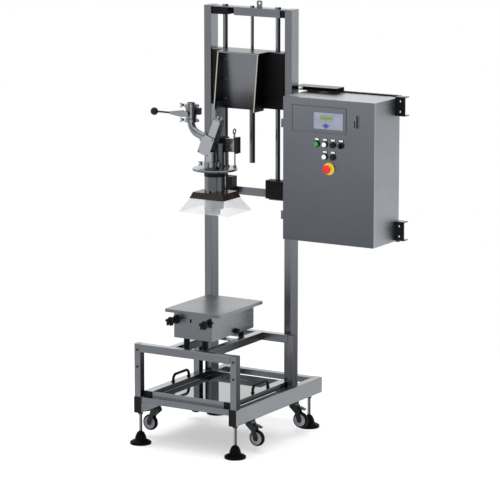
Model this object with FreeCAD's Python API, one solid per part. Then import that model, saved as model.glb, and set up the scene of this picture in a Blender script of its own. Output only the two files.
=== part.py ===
import FreeCAD, Part
import math
import os

# Semi-automatic filling machine, sizes in millimetres.
# X runs to the right, Y runs to the back, Z is up; the floor is Z = 0.
# It is drawn with Y = 0 at the front end of the base and X = 0 at its middle,
# and every piece is moved on saving so that the origin is under the base's centre.

# Clearances
run = 0.05
slip = 0.3
through = 1.0

# Base frame
base_width = 580.0
base_length = 830.0
beam_w = 40.0
beam_h = 80.0
beam_wall = 3.0
beam_bottom = 160.0
beam_round = 5.0
end_cap_t = 4.0
end_plug = 12.0
cross_w = 40.0
cross_h = 30.0
cross_wall = 2.0
cross_round = 3.0
cross_front_y = 5.0
cross_column_gap = 9.0

# Table frame over the base
table_top = 503.0
post_w = 35.0
post_d = 38.0
post_wall = 2.5
post_round = 3.0
post_column_gap = 7.0
bar_h = 40.0
bar_wall = 2.5
rail_w = 40.0
rail_x = 92.0
rail_round = 4.0
support_t = 6.0
support_w = 40.0
support_rise = 5.0
post_bolt_low = 112.0
post_bolt_high = 28.0
bolt_r = 4.0
bolt_grip = 9.0
bolt_head_r = 7.0
bolt_head_edge = 1.2
bolt_head_h = 4.2
bolt_face_r = 4.5
socket_r = 2.5
socket_depth = 2.4

# Column
column_from_back = 240.0
column_w = 40.0
column_d = 70.0
column_wall = 3.0
column_top = 2100.0
top_beam_h = 40.0
low_beam_drop = 940.0
beam_plate = 4.0
beam_web = 6.0
beam_inset = 2.0
front_lip_left = 130.0
front_lip_right = 30.0
low_shelf_w = 90.0
rod_r = 12.0
rod_from_post = 60.0
rod_nut_r = 17.0
rod_nut_h = 9.0
rod_nut_edge = 3.0
rod_set_back = 40.0
rod_block_gap = 2.0
rod_block_reach = 90.0
rod_block_low_reach = 113.0
rod_block_low_h = 90.0
block_edge = 2.0
lift_x = 4.0
lift_rod_r = 8.0
lift_nut_r = 12.0
lift_nut_h = 8.0
lift_rod_below = 109.0
barrel_r = 14.0
barrel_wall = 2.5
barrel_floor = 8.0
barrel_gland = 12.0
barrel_below = 276.0
lug_x = 50.0
lug_w = 28.0
lug_h = 36.0
lug_t = 8.0
lug_round = 8.0
lug_set_back = 28.0
lug_hole_r = 6.5
lug_hole_down = 13.0

# Carriage
carriage_drop = 216.0
carriage_h = 278.0
carriage_front = 47.0
plate_t = 8.0
gusset_x = 116.0
gusset_t = 6.0
gusset_top_reach = 45.0
gusset_low_reach = 83.0
spine_x = 85.0
spine_t = 5.0
cover_t = 6.0
cover_over = 3.0
guide_block_set = 4.0
guide_block_d = 54.0
guide_edge = 3.0
side_gap = 6.0
rod_room = 1.0
screw_x = 98.0
screw_levels = (46.0, 144.0, 243.0)

# Scale
scale_w = 218.0
scale_z0 = 541.0
scale_h = 122.0
scale_y0 = 80.0
scale_d = 390.0
scale_wall = 3.0
scale_floor = 4.0
scale_round = 4.0
scale_slot_h = 6.0
scale_slot_down = 15.0
scale_slot_front = 70.0
scale_slot_back = 40.0
scale_slot_depth = 2.0
sensor_x = -12.0
sensor_w = 10.0
sensor_h = 18.0
sensor_down = 32.0
plate_w = 316.0
plate_d = 404.0
plate_front = 7.0
plate_h = 15.0
plate_corner = 8.0
plate_edge = 2.0
plate_side = 2.0
plate_sheet = 2.5
pad_inset = 6.0
foot_pitch_x = 52.0
foot_inset = 28.0
foot_r = 15.0
foot_waist = 13.0
foot_low_h = 12.0
foot_neck_h = 2.0
foot_head_h = 34.0
foot_flare = 4.0
gland_y = 216.0
gland_up = 15.0
gland_r = 14.0
gland_t = 8.0
gland_neck_r = 11.0
gland_out = 20.0
knob_x = 95.0
knob_down = 33.0
knob_r = 22.5
knob_t = 14.0
knob_lobe_r = 7.0
knob_lobes = 5
knob_hub_r = 9.0
knob_hub_out = 4.0
knob_gap = 50.0
screw_r = 5.0
screw_out = 7.0
screw_in = 12.0

# Filling head, set from the carriage's lower edge and over the scale
nozzle_set_back = 206.0
disc_drop = 260.0
disc_r = 109.0
disc_t = 6.0
disc_rim_h = 4.0
disc_rim_w = 2.0
disc_edge = 3.0
collar_r = 53.0
collar_h = 34.0
collar_edge = 3.0
barrel_head_r = 51.0
hood_drop = 110.0
lower_r = 43.0
lower_drop = 84.0
lower_edge = 3.0
tip_r = 27.0
tip_h = 24.0
nozzle_bore = 30.0
nozzle_step = 14.0
inner_r = 44.0
tip_bore = 21.0
tip_cone = 4.0
tip_edge = 1.0
hood_t = 4.0
hood_top = (84.0, 68.0)
hood_band = (97.0, 79.0)
hood_low = (140.0, 114.0)
band_h = 30.0
skirt_h = 66.0
hood_knob_y = 60.0
hood_knob_r = 5.0
hood_knob_h = 9.0
plunger_travel = 15.0
plunger_head_r = 24.0
plunger_nose_r = 14.0
plunger_nose_h = 10.0
plunger_rim = 3.0
plunger_stem_r = 6.0
plunger_neck_h = 22.0
guide_up = 40.0
guide_t = 12.0
port_r = 9.0
port_pitch_r = 18.0
port_count = 4

# Filling valve, leaning in the X Z plane
valve_tilt = 21.0
valve_x = -28.0
valve_up = 117.0
valve_w = 68.0
valve_h = 98.0
valve_front = 41.0
valve_d = 56.0
valve_round = 4.0
actuator_w = 42.0
actuator_h = 84.0
actuator_shift = 12.0
actuator_round = 5.0
actuator_inset = 2.0
actuator_cap_inset = 6.0
actuator_cap_h = 6.0
joint_t = 4.0
joint_out = 1.0
port_big = (7.0, 12.0, -9.0)
port_small = (5.0, 16.0, 9.0)
valve_bolt_r = 3.2
valve_bolt_h = 1.6
valve_bolt_in = 8.0
neck_x = -12.0
neck_set = 18.0
neck_r = 25.0
neck_top_up = 86.0
neck_joint_up = 26.0
neck_flange_r = 32.0
neck_ring_r = 42.0
neck_ring_h = 22.0

# Inlet with butterfly valve
inlet_x = -129.0
inlet_set = 11.0
inlet_up = 230.0
pipe_r = 19.0
pipe_wall = 1.6
seat_r = 16.8
flange_r = 25.0
flange_t = 3.0
cone_h = 4.0
elbow_r = 60.0
elbow_flange_t = 12.0
elbow_flange_r = 26.0
body_h = 72.0
body_r = 28.0
body_shoulder = 2.0
boss_r = 13.0
ring_r = 34.0
ring_h = 16.0
clamp_gap = 0.4
clamp_room = 1.0
clamp_lug = 12.0
clamp_lug_root = 3.0
clamp_hinge = 8.0
clamp_lug_w = 18.0
clamp_hinge_w = 14.0
clamp_lug_cut = 2.0
clamp_screw_r = 3.5
clamp_screw_l = 32.0
wing_t = 5.0
wing_out = 19.0
wing_up = 11.0
wing_root = 1.0
inlet_stub = 14.0
index_w = 32.0
index_lap = 4.0
index_d = 18.0
index_low = 6.0
index_high = 27.0
lever_front = 53.0
lever_t = 12.0
lever_hub_r = 15.0
lever_round = 3.0
grip_wide_reach = 18.0
grip_end_reach = 90.0
grip_wide = 17.0
grip_narrow = 7.0
grip_recess = 1.0
stem_r = 6.0
flap_t = 4.0
ball_r = 19.0
ball_reach = 180.0
ball_rod_r = 4.5
ball_rod_depth = 10.0

# Head arm
hanger_x = -110.0
hanger_t = 8.0
hanger_down = 206.0
hanger_up = 36.0
hanger_round = 12.0
hanger_step = 8.0
arm_up = 92.0
arm_size = 40.0
arm_root = 38.0
tube_r = 26.0
tube_x = -12.0
tube_set = 60.0
tube_up = 113.0
tube_foot_h = 6.0
tube_foot_over = 5.0
tube_lid_h = 5.0
tube_lid_over = 3.0
drum_set = 74.0
drum_up = 112.0
drum_h = 76.0
drum_d = 40.0
drum_round = 9.0
drum_right = 25.0
drum_flange = 48.0
drum_flange_cut = 5.0
cap_w = 18.0
cap_h = 80.0
cap_d = 30.0
cap_edge = 3.0
eye_from_cap = 8.0
eye_r = 11.0
eye_wire = 3.5
eye_stem_r = 5.0
eye_up = 34.0
tie_r = 3.5
tie_pitch = 39.0
tie_foot_r = 8.0
tie_foot_h = 8.0

# Drip tray
tray_gap = 4.0
pan_half = 206.0
tray_h = 28.0
tray_front = 32.0
tray_column_gap = 27.0
tray_wall = 2.0
rim_cap_t = 5.0
rim_plug = 10.0
handle_mid = 332.0
handle_span = 158.0
handle_h = 42.0
handle_bar = 14.0
handle_bend = 26.0
handle_round = 3.0

# Control cabinet
cabinet_side_gap = 34.0
cabinet_w = 500.0
cabinet_h = 699.0
cabinet_drop = 398.0
cabinet_front = 138.0
cabinet_d = 252.0
sheet = 2.0
sheet_round = 3.0
door_t = 20.0
door_gap = 0.3
door_lip = 16.0
arm_h = 19.0
arm_len = 231.0
arm_wall = 3.0
arm_d = 80.0
arm_set = 30.0
arm_spacer_h = 10.0
arm_spacer_w = 40.0
arm_spacer_d = 50.0
arm_end_gap = 20.0
bracket_w = 54.0
bracket_h = 93.0
bracket_d = 43.0
bracket_t = 4.0
bracket_back = 47.0
bracket_over = 8.0
bracket_pitch = 50.0
bracket_hole_r = 4.5
hinge_out = 6.0
hinge_r = 5.0
hinge_low = 110.0
hinge_high = 140.0
hinge_h = 12.0
knuckle_h = 28.0
hinge_ear = 30.0
pin_r = 3.0
pin_h = 36.0
pin_in = 6.0
window_left = 46.0
window_w = 301.0
window_down = 38.0
window_h = 124.0
window_rim = 5.0
window_out = 3.0
window_round = 4.0

# Controls on the door
row_one_down = 218.0
row_pitch = 59.0
stop_pitch = 57.0
first_in = 188.0
pitch_x = 44.0
bezel_r = 15.0
bezel_t = 10.0
bezel_floor = 4.0
bezel_edge = 2.0
cap_r = 11.5
cap_out = 15.0
cap_dome = 1.5
stem_hole_r = 8.0
stem_in = 6.0
panel_hole = 2.0
tag_w = 26.0
tag_h = 14.0
tag_t = 2.0
tag_gap = 1.0
tag_round = 1.5
selector_grip_w = 7.0
selector_grip_h = 21.0
selector_out = 24.0
stop_in = 254.0
stop_r = 21.0
stop_out = 34.0
stop_neck_r = 16.0
stop_skirt = (7.0, 11.0, 16.0, 17.0)
stop_dome = (12.0, 18.0)
stop_edge = 3.0
stop_crown = 0.8
collar_disc_r = 30.0
collar_disc_t = 2.0
collar_cone_r = 17.0
collar_cone_t = 6.0
collar_top_r = 16.0
collar_out = 12.0
press = 3.5
latch_in = 400.0
latch_down = 98.0
latch_pivot = 20.0
latch_plate_w = 34.0
latch_plate_h = 70.0
latch_plate_t = 2.5
latch_w = 16.0
latch_t = 8.0
latch_top = 30.0
latch_low = 31.0
latch_round = 6.0
latch_groove_w = 8.0
latch_groove_t = 5.0
latch_stem_r = 4.5
cam_l = 20.0
cam_w = 12.0
cam_t = 4.0
cam_gap = 8.0
pad_in = 171.0
pad_w = 159.0
pad_down = 65.0
pad_h = 79.0
pad_t = 2.0
screen_w = 72.0
screen_h = 23.0
screen_shift = -10.0
screen_down = 14.0
key_r = 5.0
key_t = 1.3
key_spots = ((-16.0, 0.0), (16.0, 0.0), (0.0, 11.0), (0.0, -11.0))
key_shift = -14.0
key_up = 19.0

# Feet and castors
foot_from_front = 27.0
foot_from_back = 93.0
pad_r = 52.5
pad_rim = 11.0
pad_slope = 15.0
pad_edge = 2.0
pad_ledge_r = 47.5
cone_root_r = 29.0
cone_root = 24.0
cone_low = 39.0
cone_cap = 60.0
cone_low_r = 26.0
cone_top_r = 17.0
cone_top = 58.0
cone_cap_r = 12.0
cone_end = 66.0
foot_stem_r = 8.0
foot_stem_in = 24.0
foot_nut_r = 14.0
foot_nut_h = 10.0
castor_gap = 145.0
wheel_r = 40.0
wheel_t = 24.0
wheel_z = 72.0
tread = 4.0
tread_r = 39.0
hub_w = 22.0
hub_r = 13.0
web_r = 28.0
web_in = 3.0
trail = 36.0
axle_r = 5.0
axle_over = 7.0
pivot_r = 6.0
pivot_in = 14.0
pivot_nut_r = 9.0
pivot_nut_h = 7.0
swivel_h = 19.0
swivel_r = 26.0
swivel_top_r = 23.0
swivel_low_r = 20.0
swivel_race_r = 21.0
swivel_race = 14.0
swivel_rim = 8.0
swivel_edge = 3.0
fork_roof = 4.0
cheek_t = 3.0
cheek_gap = 2.0
cheek_top = 20.0
cheek_reach = 13.0
cheek_end = 9.0
cheek_heel = 24.0
cheek_rise = 34.0
cheek_roof = 22.0
cheek_bow = 6.0
cheek_drop = 10.0
pedal_w = 18.0
pedal_out = 64.0
pedal_t = 6.0
pedal_drop = 10.0
pedal_low_out = 62.0
pedal_root = 40.0

V = FreeCAD.Vector
UP = V(0, 0, 1)
BACK = V(0, 1, 0)
RIGHT = V(1, 0, 0)

# Levels and faces that several pieces share
beam_top = beam_bottom + beam_h
half_base = base_width / 2
inner_base = half_base - beam_w
foot_x = half_base - beam_w / 2
half_column = inner_base
inner_column = half_column - column_w
column_y = base_length - column_from_back
column_back = column_y + column_d
back_post_y = column_y - post_column_gap - post_d
low_beam_z = column_top - low_beam_drop
rod_x = inner_column - rod_from_post
rod_y = column_y + rod_set_back
carriage_z1 = column_top - carriage_drop
carriage_z0 = carriage_z1 - carriage_h
carriage_plate_y = column_y - carriage_front
gusset_top_y = carriage_plate_y - gusset_top_reach
gusset_low_y = carriage_plate_y - gusset_low_reach
guide_block_front = column_y + guide_block_set
guide_block_back = guide_block_front + guide_block_d
scale_z1 = scale_z0 + scale_h
knob_z = scale_z1 - knob_down
nozzle_y = scale_y0 + nozzle_set_back
disc_z = carriage_z0 - disc_drop
disc_top = disc_z + disc_t
hood_top_z = disc_z - hood_drop
band_z = hood_top_z - band_h
hood_low_z = band_z - skirt_h
lower_z = hood_top_z - lower_drop
tip_z = lower_z - tip_h
neck_y = nozzle_y - neck_set
neck_joint_z = disc_z + neck_joint_up
neck_top_z = disc_z + neck_top_up
inlet_y = nozzle_y - inlet_set
inlet_joint_z = disc_z + inlet_up
cabinet_x0 = half_column + cabinet_side_gap
cabinet_x1 = cabinet_x0 + cabinet_w
cabinet_z1 = column_top - cabinet_drop
cabinet_z0 = cabinet_z1 - cabinet_h
cabinet_y0 = column_y - cabinet_front
cabinet_back = cabinet_y0 + cabinet_d
door_back = cabinet_y0 + door_t
body_front = door_back + door_gap
row_one_z = cabinet_z1 - row_one_down
row_two_z = row_one_z - row_pitch
foot_y_front = foot_from_front
foot_y_back = base_length - foot_from_back

os.makedirs("parts", exist_ok=True)


def save(name, shapes):
    solids = []
    for shape in shapes:
        for solid in shape.Solids:
            solids.append(solid.translated(V(0, -base_length / 2, 0)))
    Part.makeCompound(solids).exportStep("parts/" + name + ".step")


def block(x0, x1, y0, y1, z0, z1):
    return Part.makeBox(x1 - x0, y1 - y0, z1 - z0, V(x0, y0, z0))


def cyl(radius, start, length, axis=UP):
    return Part.makeCylinder(radius, length, start, axis)


def along(shape, axis):
    found = []
    for edge in shape.Edges:
        ends = edge.Vertexes
        if len(ends) == 2 and edge.Curve.TypeId == "Part::GeomLine":
            way = ends[1].Point.sub(ends[0].Point)
            way.normalize()
            if abs(way.dot(axis)) > 0.999:
                found.append(edge)
    return found


def bar(x0, x1, y0, y1, z0, z1, axis, radius, wall=0.0):
    """Rounded bar along one axis, hollow right through when it has a wall."""
    body = block(x0, x1, y0, y1, z0, z1)
    body = body.makeFillet(radius, along(body, axis))
    if wall:
        gx = 0.0 if axis == RIGHT else wall
        gy = 0.0 if axis == BACK else wall
        gz = 0.0 if axis == UP else wall
        body = body.cut(block(x0 + gx, x1 - gx, y0 + gy, y1 - gy, z0 + gz, z1 - gz))
    return body


def turned(points, start, axis=UP):
    """Solid of revolution; the points are (radius, height) along the axis."""
    wire = Part.makePolygon([V(r, 0, h) for r, h in points + points[:1]])
    body = Part.Face(wire).revolve(V(0, 0, 0), UP, 360)
    body.Placement = FreeCAD.Placement(start, FreeCAD.Rotation(UP, axis))
    return body


def plate_xz(points, y0, thick):
    wire = Part.makePolygon([V(x, y0, z) for x, z in points + points[:1]])
    return Part.Face(wire).extrude(V(0, thick, 0))


def plate_yz(points, x0, thick):
    wire = Part.makePolygon([V(x0, y, z) for y, z in points + points[:1]])
    return Part.Face(wire).extrude(V(thick, 0, 0))


def plate_xy(points, z0, thick):
    wire = Part.makePolygon([V(x, y, z0) for x, y in points + points[:1]])
    return Part.Face(wire).extrude(V(0, 0, thick))


def hexagon(across, start, axis, length):
    ring = []
    for step in range(7):
        turn = math.radians(60 * step)
        ring.append(V(across * math.cos(turn), across * math.sin(turn), 0))
    body = Part.Face(Part.makePolygon(ring)).extrude(V(0, 0, length))
    body.Placement = FreeCAD.Placement(start, FreeCAD.Rotation(UP, axis))
    return body


def button_head(spot, way):
    """Domed screw head without its socket; way is the side it looks to."""
    profile = [(0, 0), (bolt_head_r, 0), (bolt_head_r, bolt_head_edge),
               (bolt_face_r, bolt_head_h), (0, bolt_head_h)]
    return turned(profile, spot, way)


def button_bolt(spot, way):
    """Button head screw with a hex socket and its shank."""
    socket = hexagon(socket_r, spot + way * (bolt_head_h - socket_depth), way, socket_depth + through)
    shank = cyl(bolt_r, spot - way * bolt_grip, bolt_grip, way)
    return button_head(spot, way).cut(socket).fuse(shank)


# Side beams of the base, bored for the feet and castors
castor_y_front = foot_y_front + castor_gap
castor_y_back = foot_y_back - castor_gap
base = []
for side in (-1, 1):
    x0 = side * foot_x - beam_w / 2
    beam = bar(x0, x0 + beam_w, end_cap_t, base_length - end_cap_t,
               beam_bottom, beam_top, BACK, beam_round, beam_wall)
    stem_way = foot_stem_r + run
    pivot_way = pivot_r + run
    for y, hole_r in ((foot_y_front, stem_way), (foot_y_back, stem_way),
                      (castor_y_front, pivot_way), (castor_y_back, pivot_way)):
        beam = beam.cut(cyl(hole_r, V(side * foot_x, y, beam_bottom - through), beam_wall + 2 * through))
    base.append(beam)
save("base_side_beams", base)

# Crossbars between the side beams; the middle one stands close to the column
crossbars = []
cross_mid_y = column_y - cross_column_gap - cross_w
cross_back_y = base_length - end_cap_t - cross_w
for y0 in (cross_front_y, cross_mid_y, cross_back_y):
    crossbars.append(bar(-inner_base, inner_base, y0, y0 + cross_w, beam_top - cross_h, beam_top,
                         RIGHT, cross_round, cross_wall))
save("base_crossbars", crossbars)

# End caps: pressed into the open ends of the side beams
caps = []
for side in (-1, 1):
    x0 = side * foot_x - beam_w / 2
    back_cap = base_length - end_cap_t
    for y0, plug_y in ((0, end_cap_t), (back_cap, back_cap - end_plug)):
        cap = bar(x0, x0 + beam_w, y0, y0 + end_cap_t, beam_bottom, beam_top, BACK, beam_round)
        plug = block(x0 + beam_wall, x0 + beam_w - beam_wall, plug_y, plug_y + end_plug,
                     beam_bottom + beam_wall, beam_top - beam_wall)
        caps.append(cap.fuse(plug))
save("beam_end_caps", caps)

# Table frame: four closed posts with two screws each
front_post_y = cross_front_y
posts = []
bolts = []
for side in (-1, 1):
    bolt_x = side * (half_base - post_w / 2)
    x0 = bolt_x - post_w / 2
    for y0, face_y, way in ((front_post_y, front_post_y, BACK * -1),
                            (back_post_y, back_post_y + post_d, BACK)):
        post = bar(x0, x0 + post_w, y0, y0 + post_d, beam_top, table_top, UP, post_round, post_wall)
        lid = block(x0 + post_wall, x0 + post_w - post_wall, y0 + post_wall,
                    y0 + post_d - post_wall, table_top - post_wall, table_top)
        post = post.fuse(lid)
        for level in (table_top - post_bolt_high, table_top - post_bolt_low):
            spot = V(bolt_x, face_y, level)
            post = post.cut(cyl(bolt_r, spot - way * bolt_grip, bolt_grip + through, way))
            bolts.append(button_bolt(spot, way))
        posts.append(post)
save("table_posts", posts)

# Lock nuts of the levelling feet, under the side beams
for side in (-1, 1):
    for y in (foot_y_front, foot_y_back):
        low = V(side * foot_x, y, beam_bottom - foot_nut_h)
        nut = hexagon(foot_nut_r, low, UP, foot_nut_h)
        bolts.append(nut.cut(cyl(foot_stem_r + run, low - UP * through, foot_nut_h + 2 * through)))
save("frame_bolts", bolts)

# Table rails: front and back bar, two depth rails and two flats that carry the scale
rails = []
bar_half = half_base - post_w
bar_z0 = table_top - bar_h
for y0 in (front_post_y, back_post_y):
    rails.append(bar(-bar_half, bar_half, y0, y0 + post_d, bar_z0, table_top, RIGHT, post_round, bar_wall))
rail_front = front_post_y + post_d
for side in (-1, 1):
    x0 = side * rail_x - rail_w / 2
    rails.append(bar(x0, x0 + rail_w, rail_front, back_post_y, bar_z0, table_top,
                     BACK, rail_round, bar_wall))
support_half = rail_x - rail_w / 2
support_z0 = bar_z0 + support_rise
foot_base = support_z0 + support_t
foot_ys = (scale_y0 + foot_inset, scale_y0 + scale_d - foot_inset)
for y in foot_ys:
    rails.append(block(-support_half, support_half, y - support_w / 2, y + support_w / 2,
                       support_z0, foot_base))
save("table_rails", rails)

# Column: two box posts closed at the top
columns = []
for side in (-1, 1):
    x0 = side * (half_column - column_w / 2) - column_w / 2
    post = bar(x0, x0 + column_w, column_y, column_back, beam_bottom, column_top,
               UP, post_round, column_wall)
    lid = block(x0 + column_wall, x0 + column_w - column_wall, column_y + column_wall,
                column_back - column_wall, column_top - column_wall, column_top)
    columns.append(post.fuse(lid))
save("column_posts", columns)

# Column beams: top channel with its lifting lug, low channel with two shelves
web_y1 = column_back - beam_inset
web_y0 = web_y1 - beam_web
top_z1 = column_top - beam_inset
top_z0 = top_z1 - top_beam_h
shelf_y0 = column_y + beam_plate
top_beam = block(-inner_column, inner_column, web_y0, web_y1, top_z0, top_z1)
top_beam = top_beam.fuse(block(-inner_column, inner_column, shelf_y0, web_y1,
                               top_z1 - beam_plate, top_z1))
top_beam = top_beam.fuse(block(front_lip_left - inner_column, inner_column - front_lip_right,
                               shelf_y0, shelf_y0 + beam_plate, top_z0, top_z1))
for x, hole_r in ((-rod_x, rod_r), (rod_x, rod_r), (lift_x, lift_rod_r)):
    top_beam = top_beam.cut(cyl(hole_r, V(x, rod_y, top_z0), top_beam_h + through))
lug_y = column_y + lug_set_back
lug = block(lug_x - lug_w / 2, lug_x + lug_w / 2, lug_y, lug_y + lug_t, top_z1, top_z1 + lug_h)
lug = lug.makeFillet(lug_round, [e for e in along(lug, BACK) if e.BoundBox.ZMin > top_z1 + through])
lug = lug.cut(cyl(lug_hole_r, V(lug_x, lug_y - through, top_z1 + lug_h - lug_hole_down),
                  lug_t + 2 * through, BACK))
top_beam = top_beam.fuse(lug)
low_z1 = low_beam_z + top_beam_h
shelf_z = low_beam_z + beam_plate
low_beam = block(-inner_column, inner_column, web_y0, web_y1, low_beam_z, low_z1)
for x0 in (-inner_column, inner_column - low_shelf_w):
    low_beam = low_beam.fuse(block(x0, x0 + low_shelf_w, shelf_y0, web_y1, low_beam_z, shelf_z))
save("column_beams", [top_beam, low_beam])

# Rod blocks: short ones under the top beam, tall ones on the low shelves
blocks = []
outer = inner_column - rod_block_gap
for z0, z1, reach in ((top_z0, top_z1 - beam_plate, rod_block_reach),
                      (shelf_z, shelf_z + rod_block_low_h, rod_block_low_reach)):
    inner = inner_column - reach
    for side in (-1, 1):
        body = block(min(side * inner, side * outer), max(side * inner, side * outer),
                     shelf_y0 + beam_plate, web_y0, z0, z1)
        body = body.makeChamfer(block_edge, along(body, UP))
        blocks.append(body.cut(cyl(rod_r, V(side * rod_x, rod_y, z0 - through), z1 - z0 + 2 * through)))
save("rod_blocks", blocks)

# Guide rods and lift rod, each with its nut on the top beam
rods = []
for x in (-rod_x, rod_x):
    rods.append(cyl(rod_r, V(x, rod_y, shelf_z), top_z1 - shelf_z))
    dome = turned([(0, 0), (rod_nut_r, 0), (rod_nut_r, rod_nut_h - rod_nut_edge),
                   (rod_nut_r - rod_nut_edge, rod_nut_h), (0, rod_nut_h)], V(x, rod_y, top_z1))
    rods.append(hexagon(rod_nut_r, V(x, rod_y, top_z1), UP, rod_nut_h).common(dome))
lift_low = carriage_z0 - lift_rod_below
rods.append(cyl(lift_rod_r, V(lift_x, rod_y, lift_low), top_z1 - lift_low))
rods.append(hexagon(lift_nut_r, V(lift_x, rod_y, top_z1), UP, lift_nut_h))
save("column_rods", rods)

# Cabinet mounts: two open channels from the column with spacers, two drilled side brackets
mounts = []
arm_y0 = column_y + arm_set
arm_y1 = arm_y0 + arm_d
arm_x1 = half_column + arm_len
spacer_y0 = arm_y1 - arm_spacer_d
spacer_xs = (cabinet_x0 + arm_spacer_w / 2, arm_x1 - arm_end_gap - arm_spacer_w)
for z0, pad_z0 in ((cabinet_z1 + arm_spacer_h, cabinet_z1),
                   (cabinet_z0 - arm_spacer_h - arm_h, cabinet_z0 - arm_spacer_h)):
    channel = block(half_column, arm_x1, arm_y0, arm_y1, z0, z0 + arm_h)
    channel = channel.cut(block(half_column - through, arm_x1 + through, arm_y0 - through,
                                arm_y1 - arm_wall, z0 + arm_wall, z0 + arm_h - arm_wall))
    for x0 in spacer_xs:
        channel = channel.fuse(block(x0, x0 + arm_spacer_w, spacer_y0, arm_y1,
                                     pad_z0, pad_z0 + arm_spacer_h))
    mounts.append(channel)
bracket_y = cabinet_back - bracket_back
bracket_x1 = cabinet_x1 + bracket_w
for z0 in (cabinet_z1 - bracket_h + bracket_over, cabinet_z0 + bracket_over):
    web = block(cabinet_x1, bracket_x1, bracket_y, bracket_y + bracket_t, z0, z0 + bracket_h)
    for mid in (-1, 1):
        spot = V(cabinet_x1 + bracket_w / 2, bracket_y - through,
                 z0 + bracket_h / 2 + mid * bracket_pitch / 2)
        web = web.cut(cyl(bracket_hole_r, spot, bracket_t + 2 * through, BACK))
    for edge_z in (z0, z0 + bracket_h - bracket_t):
        web = web.fuse(block(cabinet_x1, bracket_x1, bracket_y, bracket_y + bracket_d,
                             edge_z, edge_z + bracket_t))
    foot = block(cabinet_x1, cabinet_x1 + bracket_t, bracket_y, bracket_y + bracket_d, z0, z0 + bracket_h)
    mounts.append(web.fuse(foot))
save("cabinet_mounts", mounts)

# Cabinet body: folded box open to the front, with hinge ears on its left side
body = block(cabinet_x0, cabinet_x1, body_front, cabinet_back, cabinet_z0, cabinet_z1)
body = body.makeFillet(sheet_round, along(body, BACK))
body = body.cut(block(cabinet_x0 + sheet, cabinet_x1 - sheet, body_front + sheet,
                      cabinet_back - sheet, cabinet_z0 + sheet, cabinet_z1 - sheet))
body = body.cut(block(cabinet_x0 + door_lip, cabinet_x1 - door_lip, body_front - through,
                      body_front + sheet + through, cabinet_z0 + door_lip, cabinet_z1 - door_lip))
hinge_x = cabinet_x0 - hinge_out
hinge_levels = (cabinet_z0 + hinge_low, cabinet_z1 - hinge_high)
ear_back = body_front + hinge_ear
for level in hinge_levels:
    low = level - hinge_h
    ear = block(hinge_x - hinge_r, hinge_x + hinge_r, cabinet_y0, ear_back, low, level)
    ear = ear.fuse(cyl(hinge_r, V(hinge_x, cabinet_y0, low), hinge_h))
    ear = ear.fuse(block(hinge_x, cabinet_x0, body_front + through, ear_back, low, level))
    body = body.fuse(ear).fuse(cyl(pin_r, V(hinge_x, cabinet_y0, level - pin_in), pin_h))
save("cabinet_body", [body])

# Cabinet door: folded tray with hinge knuckles and a hole for each control
door = block(cabinet_x0, cabinet_x1, cabinet_y0, door_back, cabinet_z0, cabinet_z1)
door = door.makeFillet(sheet_round, along(door, BACK))
door = door.cut(block(cabinet_x0 + sheet, cabinet_x1 - sheet, cabinet_y0 + sheet, door_back + through,
                      cabinet_z0 + sheet, cabinet_z1 - sheet))
for level in hinge_levels:
    low = level + slip
    knuckle = cyl(hinge_r, V(hinge_x, cabinet_y0, low), knuckle_h)
    strap = block(hinge_x, cabinet_x0 + sheet, cabinet_y0, cabinet_y0 + hinge_r, low, low + knuckle_h)
    door = door.fuse(knuckle).fuse(strap)
    door = door.cut(cyl(pin_r + run, V(hinge_x, cabinet_y0, low - through), knuckle_h + 2 * through))
first_x = cabinet_x0 + first_in
row_one = [first_x + pitch_x * step for step in range(4)]
row_two = [first_x + pitch_x * step for step in (1, 2)]
control_spots = [(x, row_one_z) for x in row_one] + [(x, row_two_z) for x in row_two]
stop_x = cabinet_x0 + stop_in
stop_z = row_two_z - stop_pitch
for x, z in control_spots + [(stop_x, stop_z)]:
    door = door.cut(cyl(stem_hole_r + panel_hole, V(x, cabinet_y0 - through, z),
                        sheet + 2 * through, BACK))

# Window rim and latch plate on the door
window_x0 = cabinet_x0 + window_left
window_x1 = window_x0 + window_w
window_z1 = cabinet_z1 - window_down
window_z0 = window_z1 - window_h
rim = block(window_x0, window_x1, cabinet_y0 - window_out, cabinet_y0, window_z0, window_z1)
rim = rim.makeFillet(window_round, along(rim, BACK))
rim = rim.cut(block(window_x0 + window_rim, window_x1 - window_rim, cabinet_y0 - window_out - through,
                    cabinet_y0, window_z0 + window_rim, window_z1 - window_rim))
latch_x = cabinet_x0 + latch_in
latch_z = cabinet_z1 - latch_down
latch_front = cabinet_y0 - latch_plate_t
plate = block(latch_x - latch_plate_w / 2, latch_x + latch_plate_w / 2, latch_front, cabinet_y0,
              latch_z - latch_plate_h / 2, latch_z + latch_plate_h / 2)
door = door.fuse(rim).fuse(plate.makeFillet(latch_round, along(plate, BACK)))
latch_axis = V(latch_x, latch_front - through, latch_z + latch_pivot)
latch_hole = cyl(latch_stem_r + run, latch_axis, latch_plate_t + sheet + 2 * through, BACK)
save("cabinet_door", [door.cut(latch_hole)])

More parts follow.
